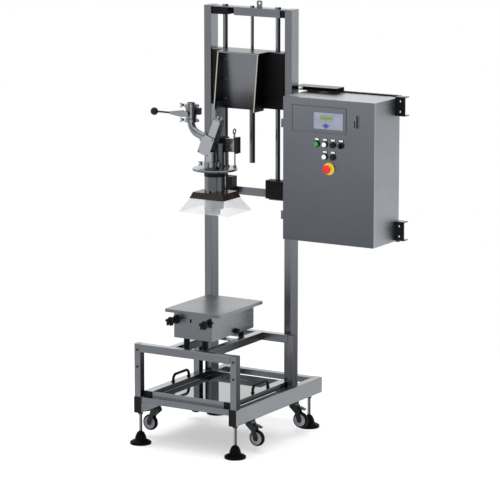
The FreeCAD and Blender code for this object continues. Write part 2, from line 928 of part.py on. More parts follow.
# Latch: swing grip over its plate, turning a short cam behind the door
latch_back = latch_front - slip
grip = block(latch_x - latch_w / 2, latch_x + latch_w / 2, latch_back - latch_t, latch_back,
             latch_z - latch_low, latch_z + latch_top)
grip = grip.makeFillet(latch_round, along(grip, BACK))
groove_x0 = latch_x - latch_groove_w / 2
grip = grip.cut(block(groove_x0, groove_x0 + latch_groove_w, latch_back - latch_t - through,
                      latch_back - latch_t + latch_groove_t, latch_z - latch_low + latch_round,
                      latch_z + latch_round))
cam_y0 = cabinet_y0 + sheet + cam_gap
cam_z0 = latch_z + latch_pivot - cam_w / 2
spindle = cyl(latch_stem_r, V(latch_x, latch_back, latch_z + latch_pivot), cam_y0 - latch_back, BACK)
cam = block(latch_x - cam_w / 2, latch_x + cam_l, cam_y0, cam_y0 + cam_t, cam_z0, cam_z0 + cam_w)
save("door_latch", [grip.fuse(spindle).fuse(cam)])

# Keypad unit inside the window rim, with a raised display bezel and four arrow keys
pad_x0 = cabinet_x0 + pad_in
pad_z1 = cabinet_z1 - pad_down
pad_z0 = pad_z1 - pad_h
pad_front = cabinet_y0 - pad_t
keypad = block(pad_x0, pad_x0 + pad_w, pad_front, cabinet_y0, pad_z0, pad_z1)
pad_mid = pad_x0 + pad_w / 2
screen_x0 = pad_mid + screen_shift - screen_w / 2
screen_z1 = pad_z1 - screen_down
keypad = keypad.fuse(block(screen_x0, screen_x0 + screen_w, pad_front - pad_t, pad_front,
                           screen_z1 - screen_h, screen_z1))
for dx, dz in key_spots:
    spot = V(pad_mid + key_shift + dx, pad_front - key_t, pad_z0 + key_up + dz)
    keypad = keypad.fuse(cyl(key_r, spot, key_t, BACK))
save("keypad_unit", [keypad])

# Bezels and white legend plates of the six round controls
bezels = []
legends = []
bezel_front = cabinet_y0 - bezel_t
for x, z in control_spots:
    ring = turned([(0, 0), (bezel_r, 0), (bezel_r, bezel_t - bezel_edge), (bezel_r - bezel_edge, bezel_t),
                   (0, bezel_t)], V(x, cabinet_y0, z), BACK * -1)
    recess = V(x, bezel_front - through, z)
    ring = ring.cut(cyl(cap_r + slip, recess, bezel_t + through - bezel_floor, BACK))
    ring = ring.cut(cyl(stem_hole_r + run, recess, bezel_t + 2 * through, BACK))
    bezels.append(ring)
    tag_z0 = z + bezel_r + tag_gap
    tag = block(x - tag_w / 2, x + tag_w / 2, cabinet_y0 - tag_t, cabinet_y0, tag_z0, tag_z0 + tag_h)
    legends.append(tag.makeFillet(tag_round, along(tag, BACK)))
save("control_bezels", bezels)
save("legend_plates", legends)

# Yellow collar of the stop button
stop_bore = stem_hole_r + run
collar = turned([(stop_bore, 0), (collar_disc_r, 0), (collar_disc_r, collar_disc_t),
                 (collar_cone_r, collar_cone_t), (collar_top_r, collar_out), (stop_bore, collar_out)],
                V(stop_x, cabinet_y0, stop_z), BACK * -1)
save("stop_collar", [collar])


def press_cap(name, x, z):
    """Round push button: domed cap on a stem that runs through its bezel."""
    front = cabinet_y0 - cap_out
    skirt = cap_out - bezel_floor - press - slip
    cap = turned([(0, 0), (cap_r - cap_dome, 0), (cap_r, cap_dome), (cap_r, skirt), (0, skirt)],
                 V(x, front, z), BACK)
    stem = cyl(stem_hole_r, V(x, front + cap_dome, z), cap_out + stem_in, BACK)
    save(name, [cap.fuse(stem)])


press_cap("start_button", row_one[0], row_one_z)
press_cap("white_button_upper", row_one[1], row_one_z)
press_cap("black_button_upper", row_one[2], row_one_z)
press_cap("white_button_lower", row_two[0], row_two_z)
press_cap("black_button_lower", row_two[1], row_two_z)

# Selector switch: round base turning in its bezel, with a raised grip
sel_x = row_one[3]
base = cyl(cap_r, V(sel_x, bezel_front - through, row_one_z),
           bezel_t + through - bezel_floor - slip, BACK)
handle = block(sel_x - selector_grip_w / 2, sel_x + selector_grip_w / 2, cabinet_y0 - selector_out,
               bezel_front, row_one_z - selector_grip_h / 2, row_one_z + selector_grip_h / 2)
handle = handle.makeFillet(selector_grip_w / 2 - through / 2, along(handle, BACK))
stem = cyl(stem_hole_r, V(sel_x, bezel_front + through, row_one_z), bezel_t + stem_in, BACK)
save("selector_switch", [base.fuse(handle).fuse(stem)])

# Stop button: mushroom head on its stem
dome_r, face_r = stop_dome
rim_low, rim_high, neck_at, stem_at = stop_skirt
stop_depth = stop_out + stem_in + sheet
mushroom = turned([(0, 0), (dome_r, stop_crown), (face_r, stop_edge), (stop_r, rim_low), (stop_r, rim_high),
                   (stop_neck_r, neck_at), (stem_hole_r, stem_at), (stem_hole_r, stop_depth),
                   (0, stop_depth)], V(stop_x, cabinet_y0 - stop_out, stop_z), BACK)
save("stop_button", [mushroom])

# Scale: open-bottomed housing with a floor plate, a side slot and a sensor hole
hx = scale_w / 2
scale_y1 = scale_y0 + scale_d
inner_x = hx - scale_wall
inner_y0 = scale_y0 + scale_wall
inner_y1 = scale_y1 - scale_wall
housing = bar(-hx, hx, scale_y0, scale_y1, scale_z0, scale_z1, UP, scale_round)
housing = housing.cut(block(-inner_x, inner_x, inner_y0, inner_y1, scale_z0 - through,
                            scale_z1 - scale_wall))
slot_z0 = scale_z1 - scale_slot_down
housing = housing.cut(block(hx - scale_slot_depth, hx + through, scale_y0 + scale_slot_front,
                            scale_y1 - scale_slot_back, slot_z0, slot_z0 + scale_slot_h))
sensor_z0 = scale_z1 - sensor_down - sensor_h / 2
window = block(sensor_x - sensor_w / 2, sensor_x + sensor_w / 2, scale_y0 - through,
               inner_y0 + through, sensor_z0, sensor_z0 + sensor_h)
housing = housing.cut(window.makeFillet(sensor_w / 2 - through / 2, along(window, BACK)))
housing = housing.fuse(block(-inner_x, inner_x, inner_y0, inner_y1, scale_z0, scale_z0 + scale_floor))
for x in (-knob_x, knob_x):
    housing = housing.cut(cyl(screw_r + run, V(x, scale_y0 - through, knob_z),
                              scale_wall + 2 * through, BACK))
save("scale_housing", [housing])

# Weighing plate: pressed sheet with a turned down rim over a pad on the housing
plate_y0 = scale_y0 - plate_front
plate_y1 = plate_y0 + plate_d
plate_z1 = scale_z1 + plate_h
plate_x = plate_w / 2
platform = block(-plate_x, plate_x, plate_y0, plate_y1, scale_z1, plate_z1)
platform = platform.makeFillet(plate_corner, along(platform, UP))
platform = platform.makeFillet(plate_edge,
                               [e for e in platform.Edges if e.BoundBox.ZMin > plate_z1 - run])
under = block(plate_side - plate_x, plate_x - plate_side, plate_y0 + plate_side, plate_y1 - plate_side,
              scale_z1 - through, plate_z1 - plate_sheet)
pad = block(pad_inset - hx, hx - pad_inset, scale_y0 + pad_inset, scale_y1 - pad_inset,
            scale_z1, plate_z1 - plate_edge)
save("scale_platform", [platform.cut(under.cut(pad))])

# Scale feet and the cable gland on the right side
feet = []
leg = scale_z0 - foot_base
leg_profile = [(0, 0), (foot_r, 0), (foot_r, foot_low_h), (foot_waist, foot_low_h + foot_neck_h),
               (foot_waist, leg - foot_head_h - foot_flare), (foot_r, leg - foot_head_h),
               (foot_r, leg), (0, leg)]
for x in (-foot_pitch_x, foot_pitch_x):
    for y in foot_ys:
        feet.append(turned(leg_profile, V(x, y, foot_base)))
feet.append(turned([(0, 0), (gland_r, 0), (gland_r, gland_t), (gland_neck_r, gland_t + foot_neck_h),
                    (gland_neck_r, gland_out), (0, gland_out)],
                   V(hx, scale_y0 + gland_y, scale_z0 + gland_up), RIGHT))
save("scale_feet", feet)


def star(x, y):
    """Lobed hand knob with its hub to the front."""
    lobe_at = knob_r - knob_lobe_r
    body = cyl(lobe_at, V(x, y, knob_z), knob_t, BACK)
    for step in range(knob_lobes):
        turn = math.radians(90 + 360 / knob_lobes * step)
        spot = V(x + lobe_at * math.cos(turn), y, knob_z + lobe_at * math.sin(turn))
        body = body.fuse(cyl(knob_lobe_r, spot, knob_t, BACK))
    return body.fuse(cyl(knob_hub_r, V(x, y - knob_hub_out, knob_z), knob_t + knob_hub_out, BACK))


# Clamp screws: a rod with a lock knob at the housing and a hand knob outside
outer_y = scale_y0 - knob_gap - knob_t
for name, x in (("star_knobs_left", -knob_x), ("star_knobs_right", knob_x)):
    inner = star(x, scale_y0 - knob_t - slip)
    rod = cyl(screw_r, V(x, outer_y - screw_out, knob_z), scale_y0 + screw_in - outer_y + screw_out, BACK)
    save(name, [inner.fuse(rod).fuse(star(x, outer_y))])

# Drip tray: one welded pan with hollow side rims, resting on two cross members
tray_half = half_base - post_w - tray_gap
rim_w = tray_half - pan_half
tray_y0 = tray_front
tray_y1 = column_y - tray_column_gap
tray_z0 = beam_top + slip
tray_z1 = tray_z0 + tray_h
tray = block(-tray_half, tray_half, tray_y0, tray_y1, tray_z0, tray_z1)
pan_in = pan_half - tray_wall
tray = tray.cut(block(-pan_in, pan_in, tray_y0 + tray_wall, tray_y1 - tray_wall,
                      tray_z0 + tray_wall, tray_z1 + through))
rim_x0 = pan_half + tray_wall
rim_x1 = tray_half - tray_wall
for side in (-1, 1):
    tray = tray.cut(block(min(side * rim_x0, side * rim_x1), max(side * rim_x0, side * rim_x1),
                          tray_y0 - through, tray_y1 + through, tray_z0 + tray_wall, tray_z1 - tray_wall))
save("tray_pan", [tray])


def arch(x):
    """Round bar bent to a bridge handle, with a foot ring at each end."""
    radius = handle_bar / 2
    top = tray_z1 + handle_h - radius
    y0 = handle_mid - handle_span / 2 + radius
    y1 = handle_mid + handle_span / 2 - radius
    bend = handle_bend * (1 - math.sqrt(0.5))
    start = V(x, y0, tray_z1)
    points = [start, V(x, y0, top - handle_bend), V(x, y0 + bend, top - bend), V(x, y0 + handle_bend, top),
              V(x, y1 - handle_bend, top), V(x, y1 - bend, top - bend), V(x, y1, top - handle_bend),
              V(x, y1, tray_z1)]
    path = Part.Wire([Part.makeLine(points[0], points[1]), Part.Arc(*points[1:4]).toShape(),
                      Part.makeLine(points[3], points[4]), Part.Arc(*points[4:7]).toShape(),
                      Part.makeLine(points[6], points[7])])
    body = path.makePipeShell([Part.Wire([Part.makeCircle(radius, start, UP)])], True, False)
    for y in (y0, y1):
        body = body.fuse(cyl(radius + handle_round, V(x, y, tray_z1), handle_round))
    return body


# Rim caps and bridge handles of the tray
fittings = []
for side in (-1, 1):
    rim_mid = side * (tray_half - rim_w / 2)
    x0 = rim_mid - rim_w / 2
    for y0, plug_y in ((tray_y0 - rim_cap_t, tray_y0), (tray_y1, tray_y1 - rim_plug)):
        cap = block(x0, x0 + rim_w, y0, y0 + rim_cap_t, tray_z0, tray_z1)
        plug = block(x0 + tray_wall, x0 + rim_w - tray_wall, plug_y, plug_y + rim_plug,
                     tray_z0 + tray_wall, tray_z1 - tray_wall)
        fittings.append(cap.fuse(plug))
    fittings.append(arch(rim_mid))
save("tray_handles", fittings)

# Levelling feet: plain stem in a cone on a wide pad
stem_top = beam_bottom + foot_stem_in
for tag, side, y in (("fl", -1, foot_y_front), ("fr", 1, foot_y_front),
                     ("bl", -1, foot_y_back), ("br", 1, foot_y_back)):
    foot = turned([(0, 0), (pad_r - pad_edge, 0), (pad_r, pad_edge), (pad_r, pad_rim),
                   (pad_ledge_r, pad_slope), (cone_root_r, cone_root), (cone_low_r, cone_low),
                   (cone_top_r, cone_top), (cone_cap_r, cone_cap), (foot_stem_r, cone_end),
                   (foot_stem_r, stem_top), (0, stem_top)], V(side * foot_x, y, 0))
    save("levelling_foot_" + tag, [foot])


def castor_fork(side, y):
    """Swivel head with a pivot pin, two cheeks and a brake pedal, trailing outwards."""
    x = side * foot_x
    top = beam_bottom - slip
    low_head = top - swivel_h
    head = turned([(0, 0), (swivel_low_r, 0), (swivel_r, swivel_edge), (swivel_r, swivel_rim),
                   (swivel_race_r, swivel_race), (swivel_top_r, swivel_h - swivel_edge),
                   (swivel_top_r, swivel_h), (0, swivel_h)],
                  V(x, y, low_head))
    head = head.fuse(cyl(pivot_r, V(x, y, top - fork_roof), pivot_in))
    head = head.fuse(hexagon(pivot_nut_r, V(x, y, beam_bottom + beam_wall + slip), UP, pivot_nut_h))
    low = wheel_z - axle_over - axle_r
    cheek_z = low_head + cheek_t
    front = y - wheel_t / 2 - cheek_gap
    back = y + wheel_t / 2 + cheek_gap
    outline = [(-cheek_top, cheek_z), (cheek_roof, cheek_z),
               (trail + cheek_reach, wheel_z + cheek_bow), (trail + cheek_end, low),
               (trail - cheek_end, low), (trail - cheek_heel, wheel_z + cheek_rise),
               (-cheek_top, cheek_z - cheek_drop)]
    for cheek_y in (front - cheek_t, back):
        head = head.fuse(plate_xz([(x + side * out, z) for out, z in outline], cheek_y, cheek_t))
    head = head.fuse(block(x - cheek_roof, x + cheek_roof, front - cheek_t, back + cheek_t,
                           cheek_z - fork_roof, cheek_z))
    root = cheek_z - fork_roof
    pedal = plate_xz([(x + side * cheek_top, root), (x + side * cheek_top, root - pedal_t),
                      (x + side * pedal_low_out, root - pedal_t - pedal_drop),
                      (x + side * pedal_out, root - pedal_drop), (x + side * pedal_root, root)],
                     y - pedal_w / 2, pedal_w)
    axle = cyl(axle_r, V(x + side * trail, y - wheel_t / 2 - axle_over, wheel_z),
               wheel_t + 2 * axle_over, BACK)
    return head.fuse(pedal).fuse(axle)


def castor_wheel(side, y):
    half = hub_w / 2
    rim = tread_r - tread
    profile = [(axle_r + run, -half), (hub_r, -half), (hub_r, web_in - half), (web_r, web_in - half),
               (web_r, -half), (rim, -half), (tread_r, tread - half), (wheel_r, 0),
               (tread_r, half - tread), (rim, half), (web_r, half), (web_r, half - web_in),
               (hub_r, half - web_in), (hub_r, half), (axle_r + run, half)]
    return turned(profile, V(side * (foot_x + trail), y, wheel_z), BACK)


for tag, side, y in (("fl", -1, castor_y_front), ("fr", 1, castor_y_front),
                     ("bl", -1, castor_y_back), ("br", 1, castor_y_back)):
    save("castor_fork_" + tag, [castor_fork(side, y)])
    save("castor_wheel_" + tag, [castor_wheel(side, y)])

# Carriage: front plate, spine walls, back plate, floor, cover and tapered gussets
slide_half = inner_column - side_gap
back_plate_y = guide_block_back
back_plate_end = back_plate_y + plate_t
carriage = block(-gusset_x, gusset_x, carriage_plate_y, carriage_plate_y + plate_t,
                 carriage_z0, carriage_z1)
for side in (-1, 1):
    x0 = side * (spine_x - spine_t / 2) - spine_t / 2
    carriage = carriage.fuse(block(x0, x0 + spine_t, carriage_plate_y, back_plate_y,
                                   carriage_z0, carriage_z1))
    gusset = plate_yz([(gusset_top_y, carriage_z1), (gusset_low_y, carriage_z0),
                       (carriage_plate_y, carriage_z0), (carriage_plate_y, carriage_z1)],
                      side * (gusset_x - gusset_t / 2) - gusset_t / 2, gusset_t)
    carriage = carriage.fuse(gusset)
    for level in screw_levels:
        spot = V(side * screw_x, carriage_plate_y, carriage_z0 + level)
        carriage = carriage.fuse(button_head(spot, BACK * -1))
carriage = carriage.fuse(block(-slide_half, slide_half, back_plate_y, back_plate_end,
                               carriage_z0, carriage_z1))
carriage = carriage.fuse(block(-spine_x, spine_x, carriage_plate_y, back_plate_y,
                               carriage_z0, carriage_z0 + cover_t))
cover_x = gusset_x + cover_over
cover_outline = [(-cover_x, gusset_top_y), (cover_x, gusset_top_y), (cover_x, guide_block_front),
                 (slide_half, guide_block_front), (slide_half, back_plate_end),
                 (-slide_half, back_plate_end), (-slide_half, guide_block_front),
                 (-cover_x, guide_block_front)]
carriage = carriage.fuse(plate_xy(cover_outline, carriage_z1, cover_t))
for x, z, hole_r in ((-rod_x, carriage_z1, rod_r + rod_room), (rod_x, carriage_z1, rod_r + rod_room),
                     (lift_x, carriage_z1, lift_rod_r + rod_room), (lift_x, carriage_z0, barrel_r)):
    carriage = carriage.cut(cyl(hole_r, V(x, rod_y, z - through), cover_t + 2 * through))
save("carriage_plates", [carriage])

# Guide blocks: black sliding bodies on the guide rods
guides = []
guide_z0 = carriage_z0 + guide_block_set
for side in (-1, 1):
    guide = block(min(side * spine_x, side * slide_half), max(side * spine_x, side * slide_half),
                  guide_block_front, guide_block_back, guide_z0, carriage_z1)
    guide = guide.makeChamfer(guide_edge, [e for e in along(guide, UP)
                                           if e.BoundBox.YMax < guide_block_front + through])
    guides.append(guide.cut(cyl(rod_r + run, V(side * rod_x, rod_y, carriage_z0), 2 * carriage_h)))
save("guide_blocks", guides)

# Lift barrel: closed tube over the lift rod, with a gland at its top
barrel_bottom = carriage_z0 - barrel_below
bore = barrel_r - barrel_wall
barrel = turned([(bore, barrel_bottom + barrel_floor), (0, barrel_bottom + barrel_floor),
                 (0, barrel_bottom), (barrel_r, barrel_bottom), (barrel_r, carriage_z1),
                 (lift_rod_r + run, carriage_z1), (lift_rod_r + run, carriage_z1 - barrel_gland),
                 (bore, carriage_z1 - barrel_gland)], V(lift_x, rod_y, 0))
save("lift_barrel", [barrel])

# Head arm: hanger plate on the left gusset, slanting arm and support tube on the disc
hanger_x = gusset_t - gusset_x
arm_x0 = hanger_x + hanger_t
hanger_low = carriage_z0 - hanger_down
hanger_high = carriage_z0 + hanger_up
hanger = block(hanger_x, arm_x0, gusset_low_y + hanger_step, carriage_plate_y, hanger_low, hanger_high)
hanger = hanger.makeFillet(hanger_round, [e for e in along(hanger, RIGHT)
                                          if e.BoundBox.ZMax < hanger_low + through])
trim = plate_yz([(gusset_low_y, carriage_z0), (gusset_low_y, hanger_high + through),
                 (gusset_top_y, hanger_high + through), (gusset_low_y + hanger_step + 2, carriage_z0)],
                hanger_x - through, hanger_t + 2 * through)
hanger = hanger.cut(trim)
arm_z = disc_z + arm_up
tube_y = nozzle_y + tube_set
arm_root_y = carriage_plate_y - arm_root
reach = math.hypot(tube_x - arm_x0, tube_y - arm_root_y)
turn = math.degrees(math.atan2(tube_x - arm_x0, arm_root_y - tube_y))
arm = block(-arm_size / 2, arm_size / 2, -reach, 2 * arm_size, arm_z - arm_size / 2, arm_z + arm_size / 2)
arm = arm.makeFillet(post_round, along(arm, BACK))
arm.rotate(V(0, 0, 0), UP, turn)
arm.translate(V(arm_x0, arm_root_y, 0))
arm = arm.cut(block(arm_x0 - reach, arm_x0, arm_root_y - reach, arm_root_y + reach,
                    arm_z - arm_size, arm_z + arm_size))
tube_top = disc_z + tube_up
tube = cyl(tube_r, V(tube_x, tube_y, disc_top), tube_top - disc_top)
tube = tube.fuse(cyl(tube_r + tube_foot_over, V(tube_x, tube_y, disc_top), tube_foot_h))
tube = tube.fuse(cyl(tube_r + tube_lid_over, V(tube_x, tube_y, tube_top), tube_lid_h))
arm = arm.fuse(tube)
save("head_arm", [hanger.fuse(arm)])

# Black clamp drum beside the support tube and the black cap at its right end
drum_y = nozzle_y + drum_set
drum_z = disc_z + drum_up
drum_left = tube_x + through
drum = block(drum_left, drum_right, drum_y - drum_d / 2, drum_y + drum_d / 2,
             drum_z - drum_h / 2, drum_z + drum_h / 2)
drum = drum.makeFillet(drum_round, along(drum, RIGHT))
flange_x1 = drum_right + drum_flange
drum_cap = block(flange_x1, flange_x1 + cap_w, drum_y - cap_d / 2, drum_y + cap_d / 2,
                 drum_z - cap_h / 2, drum_z + cap_h / 2)
drum_cap = drum_cap.makeChamfer(cap_edge, along(drum_cap, BACK))
mouldings = [drum.cut(arm), drum_cap]

# Nozzle: drip disc with a short turned down rim and the lower neck ferrule
collar_low = disc_z - collar_h
disc_low = disc_z - disc_rim_h
nozzle_disc = turned([(0, disc_top), (disc_r - disc_edge, disc_top), (disc_r, disc_top - disc_edge),
                      (disc_r, disc_low), (disc_r - disc_rim_w, disc_low), (disc_r - disc_rim_w, disc_z),
                      (0, disc_z)], V(0, nozzle_y, 0))


def ferrule(start, axis, tube_outer, flange_outer, length):
    """Sanitary clamp ferrule; the joint face is at the start, its tube runs along the axis."""
    inner = tube_outer - pipe_wall
    return turned([(inner, 0), (flange_outer, 0), (flange_outer, flange_t),
                   (tube_outer, flange_t + cone_h), (tube_outer, length), (inner, length)], start, axis)


neck_joint = V(neck_x, neck_y, neck_joint_z)
nozzle_disc = nozzle_disc.fuse(ferrule(neck_joint, UP * -1, neck_r, neck_flange_r, neck_joint_z - disc_top))
nozzle_disc = nozzle_disc.cut(cyl(neck_r - pipe_wall, V(neck_x, neck_y, disc_z - through),
                                  disc_t + 2 * through))

# Barrel, lower nozzle and tip, turned in one piece under the disc
shell = turned([(nozzle_bore, disc_z), (inner_r, disc_z), (inner_r, collar_low),
                (barrel_head_r, collar_low), (barrel_head_r, hood_top_z), (lower_r, hood_top_z),
                (lower_r, lower_z + lower_edge), (lower_r - lower_edge, lower_z), (tip_r, lower_z),
                (tip_r - tip_edge, tip_z), (tip_bore, tip_z), (tip_bore, lower_z + tip_cone),
                (nozzle_bore, lower_z + nozzle_step)], V(0, nozzle_y, 0))
save("nozzle_barrel", [nozzle_disc.fuse(shell)])
save("nozzle_collar", [turned([(inner_r, collar_low), (collar_r, collar_low),
                               (collar_r, disc_z - collar_edge), (collar_r - collar_edge, disc_z),
                               (inner_r, disc_z)], V(0, nozzle_y, 0))])

# Shut-off plunger: guided stem with a mushroom that closes the tip from below
plug_z = tip_z - run
guide_z = lower_z + guide_up
plug_r = tip_bore - run
plunger_top = disc_z - plunger_travel
plunger = turned([(0, tip_z - plunger_nose_h), (plunger_nose_r, tip_z - plunger_nose_h + tip_edge),
                  (plunger_head_r, tip_z - plunger_rim), (plunger_head_r, plug_z), (plug_r, plug_z),
                  (plug_r, tip_z + plunger_nose_h), (plunger_stem_r, tip_z + plunger_neck_h),
                  (plunger_stem_r, guide_z), (nozzle_bore - run, guide_z),
                  (nozzle_bore - run, guide_z + guide_t), (plunger_stem_r, guide_z + guide_t),
                  (plunger_stem_r, plunger_top), (0, plunger_top)], V(0, nozzle_y, 0))
for step in range(port_count):
    angle = math.radians(45 + 360 / port_count * step)
    spot = V(port_pitch_r * math.cos(angle), nozzle_y + port_pitch_r * math.sin(angle), guide_z - through)
    plunger = plunger.cut(cyl(port_r, spot, guide_t + 2 * through))
save("nozzle_plunger", [plunger])


def pyramid(z0, size0, z1, size1, inset=0.0):
    """Straight sided frustum round the nozzle axis; a size is half width and half depth."""
    wires = []
    for z, (half_x, half_y) in ((z0, size0), (z1, size1)):
        half_x -= inset
        half_y -= inset
        ring = [V(-half_x, nozzle_y - half_y, z), V(half_x, nozzle_y - half_y, z),
                V(half_x, nozzle_y + half_y, z), V(-half_x, nozzle_y + half_y, z)]
        wires.append(Part.makePolygon(ring + ring[:1]))
    return Part.makeLoft(wires, True, True)


# Splash hood: smoked band with a lid and a knob round the nozzle, clear skirt below
band = pyramid(band_z, hood_band, hood_top_z, hood_top)
band = band.cut(pyramid(band_z, hood_band, hood_top_z - hood_t, hood_top, hood_t))
band = band.cut(cyl(lower_r, V(0, nozzle_y, band_z - through), band_h + 2 * through))
band = band.cut(cyl(barrel_head_r, V(0, nozzle_y, hood_top_z), through))
save("hood_band", [band])
skirt = pyramid(hood_low_z, hood_low, band_z, hood_band)
save("splash_hood", [skirt.cut(pyramid(hood_low_z, hood_low, band_z, hood_band, hood_t))])

# Filling valve: leaning body, joint plate, actuator, ports and its outlet neck
valve_z = disc_z + valve_up
centre = V(valve_x, nozzle_y - valve_front + valve_d / 2, valve_z)
lean = FreeCAD.Placement(centre, FreeCAD.Rotation(BACK, valve_tilt))


def upright(w, d, low, high, shift, radius):
    """Block of the valve before it leans; low and high count from the body's centre."""
    body = block(shift - w / 2, shift + w / 2, -d / 2, d / 2, low, high)
    return body.makeFillet(radius, along(body, UP))


valve = upright(valve_w, valve_d, -valve_h / 2, valve_h / 2, 0, valve_round)
bolt_across = valve_w / 2 - valve_bolt_in
bolt_along = valve_h / 2 - valve_bolt_in
for shift in (-bolt_across, bolt_across):
    for level in (-bolt_along, bolt_along):
        spot = V(shift, -valve_d / 2 - valve_bolt_h, level)
        valve = valve.fuse(cyl(valve_bolt_r, spot, valve_bolt_h, BACK))
valve.Placement = lean
joint_v = valve_h / 2 + joint_t
cap_v = joint_v + actuator_h
actuator_d = valve_d - 2 * actuator_inset
joint = upright(actuator_w + 2 * joint_out, actuator_d + 2 * joint_out, valve_h / 2, joint_v,
                actuator_shift, actuator_round)
joint.Placement = lean
mouldings.append(joint)
actuator = upright(actuator_w, actuator_d, joint_v, cap_v, actuator_shift, actuator_round)
actuator = actuator.fuse(upright(actuator_w - 2 * actuator_cap_inset, actuator_d - 2 * actuator_cap_inset,
                                 cap_v, cap_v + actuator_cap_h, actuator_shift, post_round))
for port, port_h, shift in (port_big, port_small):
    actuator = actuator.fuse(cyl(port, V(actuator_shift + shift, 0, cap_v + actuator_cap_h), port_h))
actuator.Placement = lean
neck_high = ferrule(neck_joint, UP, neck_r, neck_flange_r, neck_top_z - neck_joint_z)
neck_high = neck_high.fuse(cyl(neck_r, V(neck_x, neck_y, neck_top_z - joint_t), joint_t))
save("filling_valve", [valve.fuse(neck_high), actuator])

# Inlet elbow: swept tube from the lower ferrule to the valve's left side
entry_turn = math.radians(90 - valve_tilt)
elbow_top = V(inlet_x, inlet_y, inlet_joint_z - flange_t - cone_h)
elbow_mid = elbow_top + V(elbow_r, 0, 0)
elbow_end = elbow_mid - V(elbow_r * math.cos(entry_turn), 0, elbow_r * math.sin(entry_turn))
half_turn = entry_turn / 2
elbow_half = elbow_mid - V(elbow_r * math.cos(half_turn), 0, elbow_r * math.sin(half_turn))
way = V(math.sin(entry_turn), 0, -math.cos(entry_turn))
side_face = centre - way * (valve_w / 2)
tail = (side_face - elbow_end).dot(way)
spine = Part.Wire([Part.Arc(elbow_top, elbow_half, elbow_end).toShape(),
                   Part.makeLine(elbow_end, elbow_end + way * tail)])


def swept(radius):
    ring = Part.Wire([Part.makeCircle(radius, elbow_top, UP)])
    return spine.makePipeShell([ring], True, False)


pipe = swept(pipe_r).cut(swept(pipe_r - pipe_wall))
pipe = pipe.fuse(ferrule(V(inlet_x, inlet_y, inlet_joint_z), UP * -1, pipe_r, flange_r,
                         flange_t + cone_h))
side_flange = cyl(elbow_flange_r, elbow_end + way * (tail - elbow_flange_t), elbow_flange_t, way)
side_flange = side_flange.cut(cyl(pipe_r - pipe_wall / 2, elbow_end, tail + through, way))
save("inlet_elbow", [pipe.fuse(side_flange)])

# Butterfly valve body between two clamped ferrules, with the boss of its stem
body_top = inlet_joint_z + body_h
lever_y0 = inlet_y - lever_front
lever_z = inlet_joint_z + body_h / 2
neck_end = ring_h / 2 + slip
shoulder = neck_end + body_shoulder
profile = [(seat_r, 0), (flange_r, 0), (flange_r, flange_t), (pipe_r, flange_t + cone_h),
           (pipe_r, neck_end), (body_r, shoulder), (body_r, body_h - shoulder),
           (pipe_r, body_h - neck_end), (pipe_r, body_h - flange_t - cone_h),
           (flange_r, body_h - flange_t), (flange_r, body_h), (seat_r, body_h)]
butterfly = turned(profile, V(inlet_x, inlet_y, inlet_joint_z))
boss_y = lever_y0 + lever_t + slip
butterfly = butterfly.fuse(cyl(boss_r, V(inlet_x, boss_y, lever_z), inlet_y - pipe_r - boss_y, BACK))
butterfly = butterfly.cut(cyl(seat_r, V(inlet_x, inlet_y, inlet_joint_z - through), body_h + 2 * through))
stem_end = inlet_y + body_r - flange_t - through
butterfly = butterfly.cut(cyl(stem_r + run, V(inlet_x, lever_y0, lever_z), stem_end - lever_y0 + through,
                              BACK))
save("butterfly_body", [butterfly])

# Index box of the lever, on the right side of the valve body
index_x0 = inlet_x + body_r - index_lap
index = block(index_x0, index_x0 + index_w, inlet_y - index_d / 2, inlet_y + index_d / 2,
              lever_z - index_low, lever_z + index_high)
index = index.makeFillet(sheet_round, along(index, BACK))
index = index.cut(cyl(body_r, V(inlet_x, inlet_y, lever_z - index_low - through),
                      index_low + index_high + 2 * through))
mouldings.append(index)
save("arm_drum", mouldings)


def pipe_clamp(x, y, joint_z, tube_outer, flange_outer, outer, height, side):
    """V groove clamp ring with hinge lugs and a wing nut on one side."""
    bore_r = tube_outer + clamp_room
    slope = cone_h / (flange_outer - tube_outer)
    mouth = flange_t + clamp_gap + (flange_outer - bore_r) * slope
    floor = flange_t + clamp_gap - slip * slope
    floor_r = flange_outer + slip
    half = height / 2
    ring = turned([(bore_r, -half), (outer, -half), (outer, half), (bore_r, half), (bore_r, mouth),
                   (floor_r, floor), (floor_r, -floor), (bore_r, -mouth)], V(x, y, joint_z))
    lug_z0 = joint_z - half + clamp_lug_cut
    lug_z1 = joint_z + half - clamp_lug_cut
    for way, reach, width in ((side, clamp_lug, clamp_lug_w), (-side, clamp_hinge, clamp_hinge_w)):
        near = x + way * (outer - clamp_lug_root)
        far = x + way * (outer + reach)
        ring = ring.fuse(block(min(near, far), max(near, far), y - width / 2, y + width / 2,
                               lug_z0, lug_z1))
    screw_y = y - clamp_screw_l / 2
    ring = ring.fuse(cyl(clamp_screw_r, V(x + side * (outer + clamp_lug / 2), screw_y, joint_z),
                         clamp_screw_l, BACK))
    for up in (-1, 1):
        wing = [(x + side * (outer + wing_root), joint_z), (x + side * (outer + wing_up), joint_z),
                (x + side * (outer + wing_out), joint_z + up * wing_up),
                (x + side * (outer + clamp_hinge), joint_z + up * (wing_up - wing_root))]
        ring = ring.fuse(plate_xz(wing, screw_y - wing_t + wing_root, wing_t))
    return ring


# Clamps and the inlet's top ferrule
fits = [pipe_clamp(neck_x, neck_y, neck_joint_z, neck_r, neck_flange_r, neck_ring_r, neck_ring_h, -1)]
for joint_z in (inlet_joint_z, body_top):
    fits.append(pipe_clamp(inlet_x, inlet_y, joint_z, pipe_r, flange_r, ring_r, ring_h, -1))
fits.append(ferrule(V(inlet_x, inlet_y, body_top), UP, pipe_r, flange_r, inlet_stub))

